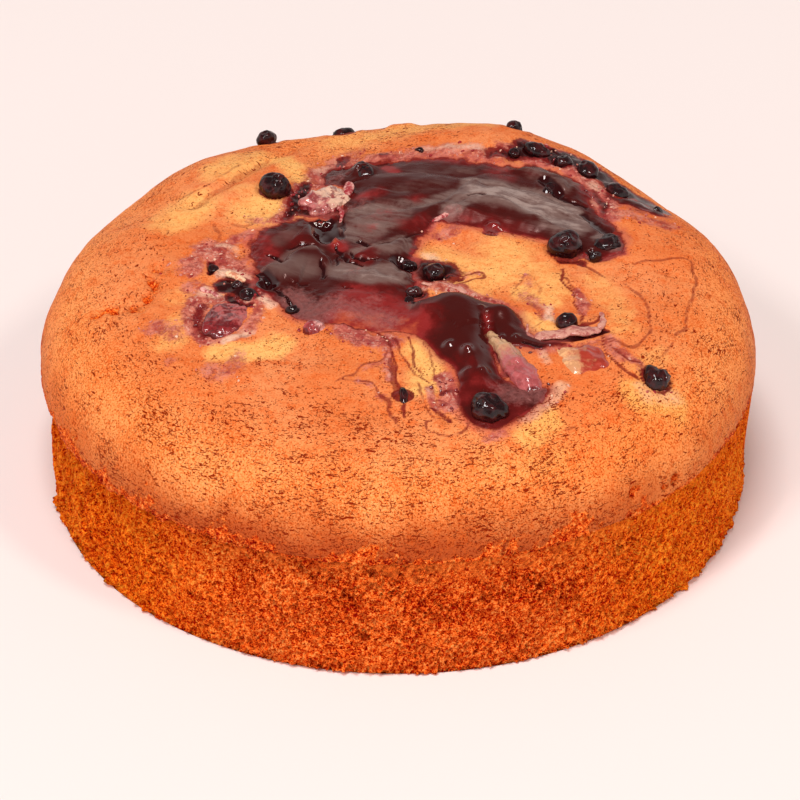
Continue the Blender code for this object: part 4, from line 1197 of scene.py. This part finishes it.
def add_filling(name, runs, rise, edge, node):
    """One body of filling, painted where it is thin, clouded or split."""
    places, faces = filling_mesh(runs, rise, edge)
    piece = add_piece(name, places, faces, filling_finish(f"{name}_gloss"))
    x, y, z = places.T
    thin_edge = 0.62 * (1.0 - soft_step(0.0, 1.8, filling_reach(x, y, runs)))
    thin = np.maximum(strokes(x, y, THINS), thin_edge)
    split = split_depth(x, y)
    wet = 0.6 * soft_step(0.1, 0.7, split)
    for _, away in standing_drops(x, y):
        wet = np.maximum(wet, np.exp(-0.6 * away ** 4))
    satin = 1.0 - np.exp(-((x - 20.0) / 12.0) ** 4 - ((y + 50.0) / 22.0) ** 4)
    satin *= (1.0 - 0.8 * wet) * (0.55 + 0.45 * soft_step(-24.0, -8.0, x))
    paint(piece, "marks", np.column_stack((thin, strokes(x, y, CLOUDS), split)))
    paint(piece, "wet", wet)
    paint(piece, "satin", satin)
    # Where the grey-brown painted sheen lies
    paint(piece, "skin", strokes(x, y, SHEEN_STROKES) * (1.0 - wet))
    along, across = STRAND_COS * x - STRAND_SIN * y, STRAND_SIN * x + STRAND_COS * y
    paint(piece, "strand", np.column_stack((STRAND_DRAWN * along, across, z)))
    settle_piece(piece, "filling", node)


add_filling("filling_pool", FILLING_RUNS, 0.7, 3.0, "fruit_filling")
add_filling("filling_strip", STRIP_RUNS, 0.9, 2.4, "filling_tail")


# ---- The plum pieces --------------------------------------------------------
# Soft pieces of plum sunk into the batter: wet flesh between amber and mauve pink,
# with dark red skin at the edges and small white sparkles of syrup.

# Place in plan, length, width, height, centre above the crown, turn in degrees,
# taper and squareness
PLUMS = {
    "plum_1": (30.6, -46.2, 32.0, 11.5, 7.0, -1.4, -66, 0.62, 0.80),
    "plum_2": (48.6, -44.6, 16.5, 14.5, 7.0, -2.3, 14, 0.10, 0.66),
    "plum_3": (-46.6, -26.6, 17.0, 13.0, 6.6, -1.5, 72, 0.12, 0.60),
    "plum_4": (-22.6, -31.2, 6.2, 4.6, 4.6, 0.1, 40, 0.20, 0.72),
    "plum_5": (-20.4, 34.6, 15.0, 13.0, 6.4, -1.1, 50, 0.15, 0.72),
}
# Flesh, flesh at the far end, edge, share of crimson blotches, coarseness and mingling
PLUM_LOOKS = {
    "plum_1": ((0.44, 0.085, 0.085), (0.60, 0.340, 0.170), (0.13, 0.008, 0.010), 0.34, 0.20, 0.8),
    "plum_2": ((0.38, 0.034, 0.016), (0.84, 0.420, 0.190), (0.20, 0.010, 0.009), 0.35, 0.10, 1.2),
    "plum_3": ((0.40, 0.085, 0.078), (0.22, 0.012, 0.014), (0.11, 0.006, 0.008), 0.80, 0.24, 1.4),
    "plum_4": ((0.66, 0.300, 0.270), (0.42, 0.060, 0.060), (0.14, 0.008, 0.010), 0.60, 0.18, 1.6),
    "plum_5": ((0.70, 0.410, 0.290), (0.50, 0.130, 0.120), (0.20, 0.010, 0.014), 0.75, 0.34, 1.8),
}
PLUM_DETAIL = 5
SLOPE_REACH = 3.0            # the crown's slope is taken over this far each way


def ball(detail):
    """Places and faces of a finely divided unit ball."""
    bm = bmesh.new()
    bmesh.ops.create_icosphere(bm, subdivisions=detail, radius=1.0)
    places = np.array([vertex.co for vertex in bm.verts])
    faces = [[vertex.index for vertex in face.verts] for face in bm.faces]
    bm.free()
    return places, faces


def crown_slope(x, y, step_x, step_y):
    """Slope of the crown from one side of a place to the other."""
    rise = crown_height(x + step_x, y + step_y) - crown_height(x - step_x, y - step_y)
    return rise / (2.0 * SLOPE_REACH)


def seat(places, x, y, lift, turn):
    """Turn a piece and sink it into the crown, tipped with the slope it lies on."""
    slope_x = crown_slope(x, y, SLOPE_REACH, 0.0)
    slope_y = crown_slope(x, y, 0.0, SLOPE_REACH)
    up = np.array((-slope_x, -slope_y, 1.0))
    up /= np.linalg.norm(up)
    right = np.array((1.0, 0.0, slope_x))
    right /= np.linalg.norm(right)
    back = np.cross(up, right)
    angle = math.radians(turn)
    along = right * math.cos(angle) + back * math.sin(angle)
    aside = back * math.cos(angle) - right * math.sin(angle)
    return places @ np.array((along, aside, up)) + (x, y, crown_height(x, y) + lift)


def plum_finish(name, flesh, far, edge, blotches, coarseness, mingling):
    """Wet plum flesh, darker at its edge, with strands and crimson blotches."""
    finish, tree, shader, place = new_finish(name, 0.34, coat=0.8, coat_roughness=0.09, specular=0.15)
    strand = noise(painted(tree, "strand", "Vector"), 1.6, 3.0, 0.6)
    blotch = noise(place, 3.2, 3.0, 0.65)
    froth = noise(place, 0.9, 2.0, 0.6)
    far_share = painted(tree, "far") + (blotch - 0.5) * mingling
    rim = painted(tree, "rim") + (blotch - 0.5) * 0.6
    lighter = tuple(min(1.0, 1.4 * part + 0.04) for part in flesh)
    feed(shader, "Base Color", laid_over(
        tint(far_share.rise(0.34, 0.74), flesh, far),
        (strand.rise(0.45, 0.7) * 0.30, lighter),
        ((blotch + froth * 0.35).rise(0.66, 0.76) * blotches, edge),
        (rim.rise(0.55, 0.85), edge)))
    bump(shader, strand + blotch + froth, coarseness)
    return finish


for seed, (name, look) in enumerate(PLUM_LOOKS.items(), start=61):
    x, y, length, width, height, lift, turn, taper, squareness = PLUMS[name]
    coarseness = look[4]
    shape, faces = ball(PLUM_DETAIL)
    block = np.sign(shape) * np.abs(shape) ** squareness
    block[:, 1] *= 1.0 - taper * (1.0 - block[:, 0]) / 2.0
    block *= 0.5 * np.array((length, width, height))
    outer = np.abs(shape[:, :2]).max(axis=1)
    bulge = 0.40 * unevenness(block, 5.5, seed) + 0.9 * coarseness * unevenness(block, 2.0, seed + 10)
    places = seat(block * 0.96 + shape * bulge[:, None], x, y, lift, turn)
    piece = add_piece(f"{name}_flesh", places, faces, plum_finish(f"{name}_flesh", *look))
    paint(piece, "rim", soft_step(0.60, 0.98, outer) * (0.75 + 0.3 * unevenness(block, 4.0, seed + 20)))
    paint(piece, "far", 0.5 - block[:, 0] / length)
    paint(piece, "strand", block * (0.35, 1.0, 1.0))
    settle_piece(piece, "plum", name)


# ---- The berries ------------------------------------------------------------
# Whole blueberries baked until they sank and their skins wrinkled: near black, wet
# where syrup ran over them; the small ones are half under the batter.

DRY_BERRIES = BERRIES[:4]
# Small half-covered berries: x, y, half-width and centre above the crown
SMALL_BERRIES = (
    (-50.6, -0.7, 1.7, -0.3), (54.2, 5.3, 1.9, 0.1), (72.4, 38.0, 1.7, -0.2), (32.7, 57.7, 1.8, -0.2),
    (6.0, 63.2, 1.6, -0.4), (-28.7, -22.0, 1.7, 0.2), (-36.8, -6.4, 2.3, -1.2), (42.6, 40.4, 1.9, 0.6),
    (3.2, -17.0, 1.7, -0.4), (-43.6, -9.6, 1.6, 0.1),
)
LARGE_BERRY = 4.2            # half-width from which a berry is divided more finely


def berry_finish(name, roughness, coat, coat_roughness, worn):
    """Baked berry skin: near black with brown-red worn parts."""
    finish, tree, shader, place = new_finish(name, roughness, coat, coat_roughness, 0.04)
    blotch = noise(place, 2.6, 3.0, 0.6)
    dark = tint(blotch.rise(0.44, 0.66), (0.012, 0.0022, 0.0030), (0.055, 0.0055, 0.006))
    feed(shader, "Base Color", tint(painted(tree, "crest").rise(0.60, 1.0) * 0.45, dark, worn))
    bump(shader, noise(place, 0.7, 3.0, 0.6) + blotch, 0.30)
    return finish


def berry_shape(half, seed, detail):
    """A wrinkled, partly collapsed berry about its own middle, and its crests."""
    shape, faces = ball(detail)
    body = shape * half
    size = half.mean()
    draw = np.random.default_rng(seed)
    flower = np.array((draw.uniform(-0.6, 0.6), draw.uniform(-0.8, 0.2), 1.0))
    flower /= np.linalg.norm(flower)
    from_flower = np.arccos(np.clip(shape @ flower, -1.0, 1.0)) * size
    around = np.arctan2(shape @ np.cross(flower, (1.0, 0.0, 0.0)), shape[:, 0])
    star = 1.4 + 0.25 * np.cos(5.0 * around + seed)
    ridged = 1.0 - np.abs(unevenness(body, 3.6, seed, 10))
    finer = 1.0 - np.abs(unevenness(body, 1.3, seed + 50, 10))
    push = 0.24 * (ridged - 0.6) + 0.05 * (finer - 0.6) + 0.42 * unevenness(body, 6.0, seed + 90)
    push += 0.28 * bell((from_flower - star) / 0.32) - 0.70 * bell(from_flower, 4)
    for _ in range(4):
        dent = draw.normal(size=3) * (1.0, 1.0, 0.6)
        dent /= np.linalg.norm(dent)
        spread = draw.uniform(0.35, 0.65)
        push -= draw.uniform(0.3, 0.9) * bell((1.0 - shape @ dent) / (spread * spread))
    crest = np.clip(0.75 * ridged + 0.25 * finer, 0.0, 1.0)
    return body * 0.985 + shape * (push * size / 4.5)[:, None], faces, crest


berry_finishes = {
    True: berry_finish("berry_skin_wet", 0.40, 0.70, 0.04, (0.048, 0.010, 0.010)),
    False: berry_finish("berry_skin_dry", 0.5, 0.55, 0.07, (0.075, 0.022, 0.020)),
}
for seed, node in enumerate(BERRIES, start=101):
    wet = node not in DRY_BERRIES
    middle, half, axes = berry_frame(node)
    body, faces, crest = berry_shape(half * (1.0, 1.0, 0.94), seed, 5 if half.max() > LARGE_BERRY else 4)
    places = middle + body @ axes.T - (0.0, 0.0, 0.6 if wet else 0.35)
    piece = add_piece(f"{node}_skin", places, faces, berry_finishes[wet])
    paint(piece, "crest", crest)
    settle_piece(piece, "berry", node)

places, faces, crests = [], [], []
for number, (x, y, half_width, lift) in enumerate(SMALL_BERRIES):
    half = half_width * np.array((1.05, 1.0, 0.85))
    body, body_faces, crest = berry_shape(half, 140 + number, 4)
    faces += [[corner + len(crests) for corner in face] for face in body_faces]
    places.append(seat(body, x, y, lift, 40.0 * number))
    crests.extend(crest)
small = add_piece("small_berries", np.vstack(places), faces, berry_finishes[True])
paint(small, "crest", crests)
settle_piece(small, "berry")


# ---- The torn batter and small bits -----------------------------------------
# A flap and strips of coloured batter that lifted off the crust, with loose crumbs
# and beads of syrup around the fruit.

RIBBON_SIDES = 14            # points round a strip
# Light and dark colour of each kind of torn batter
BATTERS = {
    "batter_mauve": ((0.62, 0.280, 0.210), (0.42, 0.110, 0.090)),
    "batter_pale": ((0.88, 0.560, 0.340), (0.62, 0.200, 0.110)),
    "batter_pink": ((0.76, 0.350, 0.300), (0.34, 0.030, 0.036)),
}
# Width, thickness, centre above the crown, kind and plan points
RIBBONS = (
    (4.0, 1.3, 0.4, "batter_mauve", 36.5, -36, 41, -34.5, 46, -33, 51, -31.5, 55, -30.5),
    (1.6, 1.1, 0.5, "batter_mauve", 54.5, -31, 55.6, -27.5, 54.8, -23),
    (1.4, 1.0, 0.35, "batter_mauve", 36.5, -36.5, 34.8, -33, 35.2, -29.5),
    (1.5, 1.0, 0.25, "batter_pale", -39, -20.5, -37, -18.3, -34.5, -16.6),
    (1.3, 0.9, 0.2, "batter_pale", -37.6, -22.5, -35, -20, -32.5, -18.4),
    (2.2, 1.2, 0.3, "batter_pale", -47, -4, -44, -5.2, -41.5, -7.6),
    (1.2, 0.9, 0.3, "batter_pink", -54, -11, -51, -12.6, -48.5, -15.8),
    (2.6, 2.0, 0.6, "batter_pink", -13.2, 43.5, -13.8, 40, -14.6, 36.5),
    (1.3, 1.0, 0.4, "batter_pink", -16.4, 31, -15.4, 27, -16.2, 22.5),
    (1.8, 1.0, 0.25, "batter_mauve", 6.5, -9.4, 11, -9.6, 16, -11.2, 21, -14.8),
    (1.5, 1.0, 0.3, "batter_pink", 9.5, 22.5, 12.4, 25.2, 15.6, 27.2),
)
# Where beads of syrup lie: radius, share and points
BEADS = (
    (2.4, 1.0, -30, 27, -28, 33, -26, 42), (2.2, 0.9, -14, 42, -14, 35),
    (2.6, 0.8, 11, -60, 16, -58, 13, -67), (2.2, 1.0, 34, -40, 39, -42, 43, -41),
    (2.0, 0.7, 28, -60, 35, -60, 39, -57), (2.0, 0.7, -54, -20, -52, -33), (2.0, 0.7, -44, -17, -41, -20),
    (1.8, 0.8, 40, 60, 50, 57), (1.8, 0.7, 53, 42, 58, 32), (2.4, 0.5, -23, -30, -20, -32),
)


def ribbon(width, thickness, lift, line, seed):
    """A drooping strip over the crown along plan points, ragged at its sides."""
    path = smooth_path(line, 10)
    rows = len(path)
    around = np.arange(RIBBON_SIDES) / RIBBON_SIDES * math.tau
    way = np.gradient(path, axis=0)
    way /= np.linalg.norm(way, axis=1)[:, None]
    aside = np.stack((way[:, 1], -way[:, 0]), axis=1)[:, None]
    fullness = np.sqrt(np.clip(1.0 - np.linspace(-1.0, 1.0, rows) ** 6, 0.02, 1.0))[:, None]
    across = 0.5 * width * fullness * np.sign(np.cos(around)) * np.abs(np.cos(around)) ** 0.7
    flat = path[:, None] + aside * across[..., None]
    height = crown_height(flat[..., 0], flat[..., 1]) + lift + 0.5 * thickness * fullness * np.sin(around)
    places = np.concatenate((flat, height[..., None]), axis=2)
    points = places.reshape(-1, 3)
    ragged = 0.16 * unevenness(points, 3.2, seed) + 0.05 * unevenness(points, 1.3, seed + 1)
    ragged = ragged.reshape(rows, RIBBON_SIDES)
    waves = 0.3 * plan_bumps(path[:, 0], path[:, 1], 5.0, seed + 2)[:, None]
    places[..., :2] += aside * (2.0 * np.cos(around) * ragged)[..., None]
    places[..., 2] += np.sin(around) * ragged + waves
    numbers = np.arange(len(points)).reshape(rows, RIBBON_SIDES)
    faces = [face for low, high in zip(numbers, numbers[1:]) for face in ring_faces(low, high).tolist()]
    return points, faces + [numbers[0, ::-1].tolist(), numbers[-1].tolist()]


def batter_finish(name, light, dark):
    """Torn batter coloured by the fruit, crumbly and a little wet."""
    finish, tree, shader, place = new_finish(name, 0.5, coat=0.35, coat_roughness=0.15, specular=0.15)
    patch = noise(place, 2.6, 3.0, 0.65)
    grain = noise(place, 0.8, 3.0, 0.6)
    feed(shader, "Base Color", tint((patch + (grain - 0.5) * 0.5).rise(0.40, 0.60), dark, light))
    bump(shader, patch + grain, 0.16)
    return finish


def random_value(tree, low, high, seed, kind='FLOAT_VECTOR'):
    """A number or a vector drawn for each instance."""
    first = 0 if kind == 'FLOAT_VECTOR' else 2
    inputs = {first: low, first + 1: high, "Seed": seed}
    return add_node(tree, 'FunctionNodeRandomValue', inputs, first // 2, data_type=kind)


def scatter_tree():
    """Geometry Nodes that strew small uneven grains over the painted parts of a piece."""
    tree, given = node_group(
        "strewn_bits", 'GeometryNodeTree',
        (("Geometry", "Geometry"), ("Mark", "String", ""), ("Per Square Metre", "Float", 1.0e6),
         ("Radius", "Float", 0.0004), ("Detail", "Int", 2), ("Unevenness", "Float", 0.3), ("Seed", "Int", 1),
         ("Finish", "Material")),
        (("Geometry", "Geometry"),))
    amount = point_attribute(tree, given["Mark"]) * given["Per Square Metre"]
    inputs = {"Mesh": given["Geometry"], "Density": amount, "Seed": given["Seed"]}
    spots = add_node(tree, 'GeometryNodeDistributePointsOnFaces', inputs, "Points")
    inputs = {"Radius": given["Radius"], "Subdivisions": given["Detail"]}
    grain = add_node(tree, 'GeometryNodeMeshIcoSphere', inputs)
    inputs = {"Points": spots, "Instance": grain,
              "Rotation": random_value(tree, (0.0, 0.0, 0.0), (6.28, 6.28, 6.28), 3),
              "Scale": random_value(tree, (0.45, 0.45, 0.4), (1.5, 1.3, 1.0), 5)}
    strewn = add_node(tree, 'GeometryNodeInstanceOnPoints', inputs)
    shaded = with_attribute(tree, strewn, "shade", random_value(tree, 0.0, 1.0, 7, 'FLOAT'), 'INSTANCE')
    place = add_node(tree, 'GeometryNodeInputPosition')
    bumps = add_node(tree, 'ShaderNodeTexNoise', {"Vector": place, "Scale": 1400.0, "Detail": 1.0})
    push = (bumps - 0.5) * (given["Unevenness"] * 0.004)
    uneven = pushed_out(tree, realized(tree, shaded), push)
    smooth = add_node(tree, 'GeometryNodeSetShadeSmooth', {0: uneven})
    dressed = add_node(tree, 'GeometryNodeSetMaterial', {"Geometry": smooth, "Material": given["Finish"]})
    end_group(tree, dressed)
    return tree


def strew(name, slot, finish, amount, **values):
    """Grains strewn over the crust where an amount is painted."""
    host = bpy.data.objects.new(name, crust.data.copy())
    bpy.context.scene.collection.objects.link(host)
    paint(host, "amount", amount)
    grow(host, strewn_bits, Mark="amount", Finish=finish, **values)
    settle_piece(host, slot)


for kind, tones in BATTERS.items():
    places, faces = [], []
    for seed, (width, thickness, lift, own_kind, *line) in enumerate(RIBBONS, start=200):
        if own_kind == kind:
            strip, strip_faces = ribbon(width, thickness, lift, line, seed)
            count = sum(map(len, places))
            faces += [[corner + count for corner in face] for face in strip_faces]
            places.append(strip)
    settle_piece(add_piece(kind, np.vstack(places), faces, batter_finish(kind, *tones)), "crust")

strewn_bits = scatter_tree()
x, y, z = (np.array([vertex.co for vertex in crust.data.vertices]) / MM).T
bared = (z > LIP_HEIGHT + 8.0) * (filling_reach(x, y, FILLING_RUNS) < 0.8)
littered = np.maximum(strokes(x, y, CREAMS), 0.55 * strokes(x, y, STAINS)) * bared
finish, tree, shader, place = new_finish("loose_crumb", 0.6, specular=0.2)
shade = painted(tree, "shade")
feed(shader, "Base Color", laid_over(
    tint(shade.rise(0.2, 0.5), (0.30, 0.020, 0.024), (0.56, 0.180, 0.140)),
    (shade.rise(0.60, 1.0), (0.80, 0.480, 0.330))))
strew("loose_crumbs", "crust", finish, littered, Per_Square_Metre=1.5e5, Radius=0.00038, Seed=4)

finish, tree, shader, place = new_finish("syrup_bead", 0.25, coat=0.6, coat_roughness=0.04)
feed(shader, "Base Color", tint(painted(tree, "shade"), (0.10, 0.003, 0.004), (0.30, 0.012, 0.014)))
strew("syrup_beads", "filling", finish, strokes(x, y, BEADS) * bared,
      Per_Square_Metre=1.1e5, Radius=0.00055, Detail=3, Unevenness=0.1, Seed=9)


# ---- Floor, light and camera ------------------------------------------------
# A plain pale floor, one large soft light overhead and two smaller ones in front,
# seen from the photograph's angle.

CAMERA_TILT = math.radians(33.8)
CAMERA_AWAY = 1780.0
CAMERA_AIM = (0.6, 36.0, 0.0)
CAMERA_LENS = 281.25
FLOOR_SIZE = 9000.0
FLOOR_DROP = 0.2             # the floor lies this far under the cake's base
LIGHT_AIM = 50.0             # height that the lights are turned to
ROOM_OVERHEAD = 0.13         # the soft room is bright low down, most of all in front
ROOM_FRONT = 0.84
ROOM_BACK = 0.55


def add_light(name, place, size, watts, colour=(1.0, 1.0, 1.0)):
    """A soft rectangular light turned to the cake."""
    data = bpy.data.lights.new(name, 'AREA')
    data.shape = 'RECTANGLE'
    data.size, data.size_y = (side * MM for side in size)
    data.energy = watts
    data.color = colour
    light = bpy.data.objects.new(name, data)
    light.location = [part * MM for part in place]
    x, y, z = place
    tilt = math.atan2(math.hypot(x, y), z - LIGHT_AIM)
    light.rotation_euler = (tilt, 0.0, math.atan2(y, x) + math.pi / 2.0)
    bpy.context.scene.collection.objects.link(light)


half = FLOOR_SIZE / 2.0
corners = [(-half, -half, 0.0), (half, -half, 0.0), (half, half, 0.0), (-half, half, 0.0)]
finish, tree, shader, place = new_finish("pale_floor", 0.7)
feed(shader, "Base Color", tint(noise(place, 400.0), (0.875, 0.755, 0.725), (0.885, 0.765, 0.735)))
floor = add_piece("floor", corners, [(0, 1, 2, 3)], finish)
floor.location.z = -FLOOR_DROP * MM

add_light("overhead", (-300.0, -900.0, 3200.0), (1100.0, 740.0), 68.0)
add_light("key", (-1400.0, -2000.0, 2600.0), (560.0, 560.0), 36.0)
add_light("second", (1600.0, -1400.0, 2800.0), (520.0, 520.0), 26.0, (1.0, 0.96, 0.88))

world = bpy.data.worlds.new("soft_room")
bpy.context.scene.world = world
world.use_nodes = True
background = world.node_tree.nodes["Background"]
background.inputs["Color"].default_value = (1.0, 0.97, 0.95, 1.0)
_, back, up = parts(add_node(world.node_tree, 'ShaderNodeTexCoord', output="Generated"))
wall_light = back.rise(-0.7, 0.7) * (ROOM_BACK - ROOM_FRONT) + ROOM_FRONT
feed(background, "Strength", (1.0 - up.rise(0.30, 0.62)) * wall_light + ROOM_OVERHEAD)

camera_data = bpy.data.cameras.new("camera")
camera_data.sensor_width = 36.0
camera_data.lens = CAMERA_LENS
camera = bpy.data.objects.new("camera", camera_data)
aim_x, aim_y, aim_z = CAMERA_AIM
camera.location = (
    aim_x * MM,
    (aim_y - CAMERA_AWAY * math.cos(CAMERA_TILT)) * MM,
    (aim_z + CAMERA_AWAY * math.sin(CAMERA_TILT)) * MM,
)
camera.rotation_euler = (math.pi / 2.0 - CAMERA_TILT, 0.0, 0.0)
bpy.context.scene.collection.objects.link(camera)
bpy.context.scene.camera = camera
bpy.context.scene.view_settings.view_transform = 'Standard'
bpy.context.scene.view_settings.look = 'None'
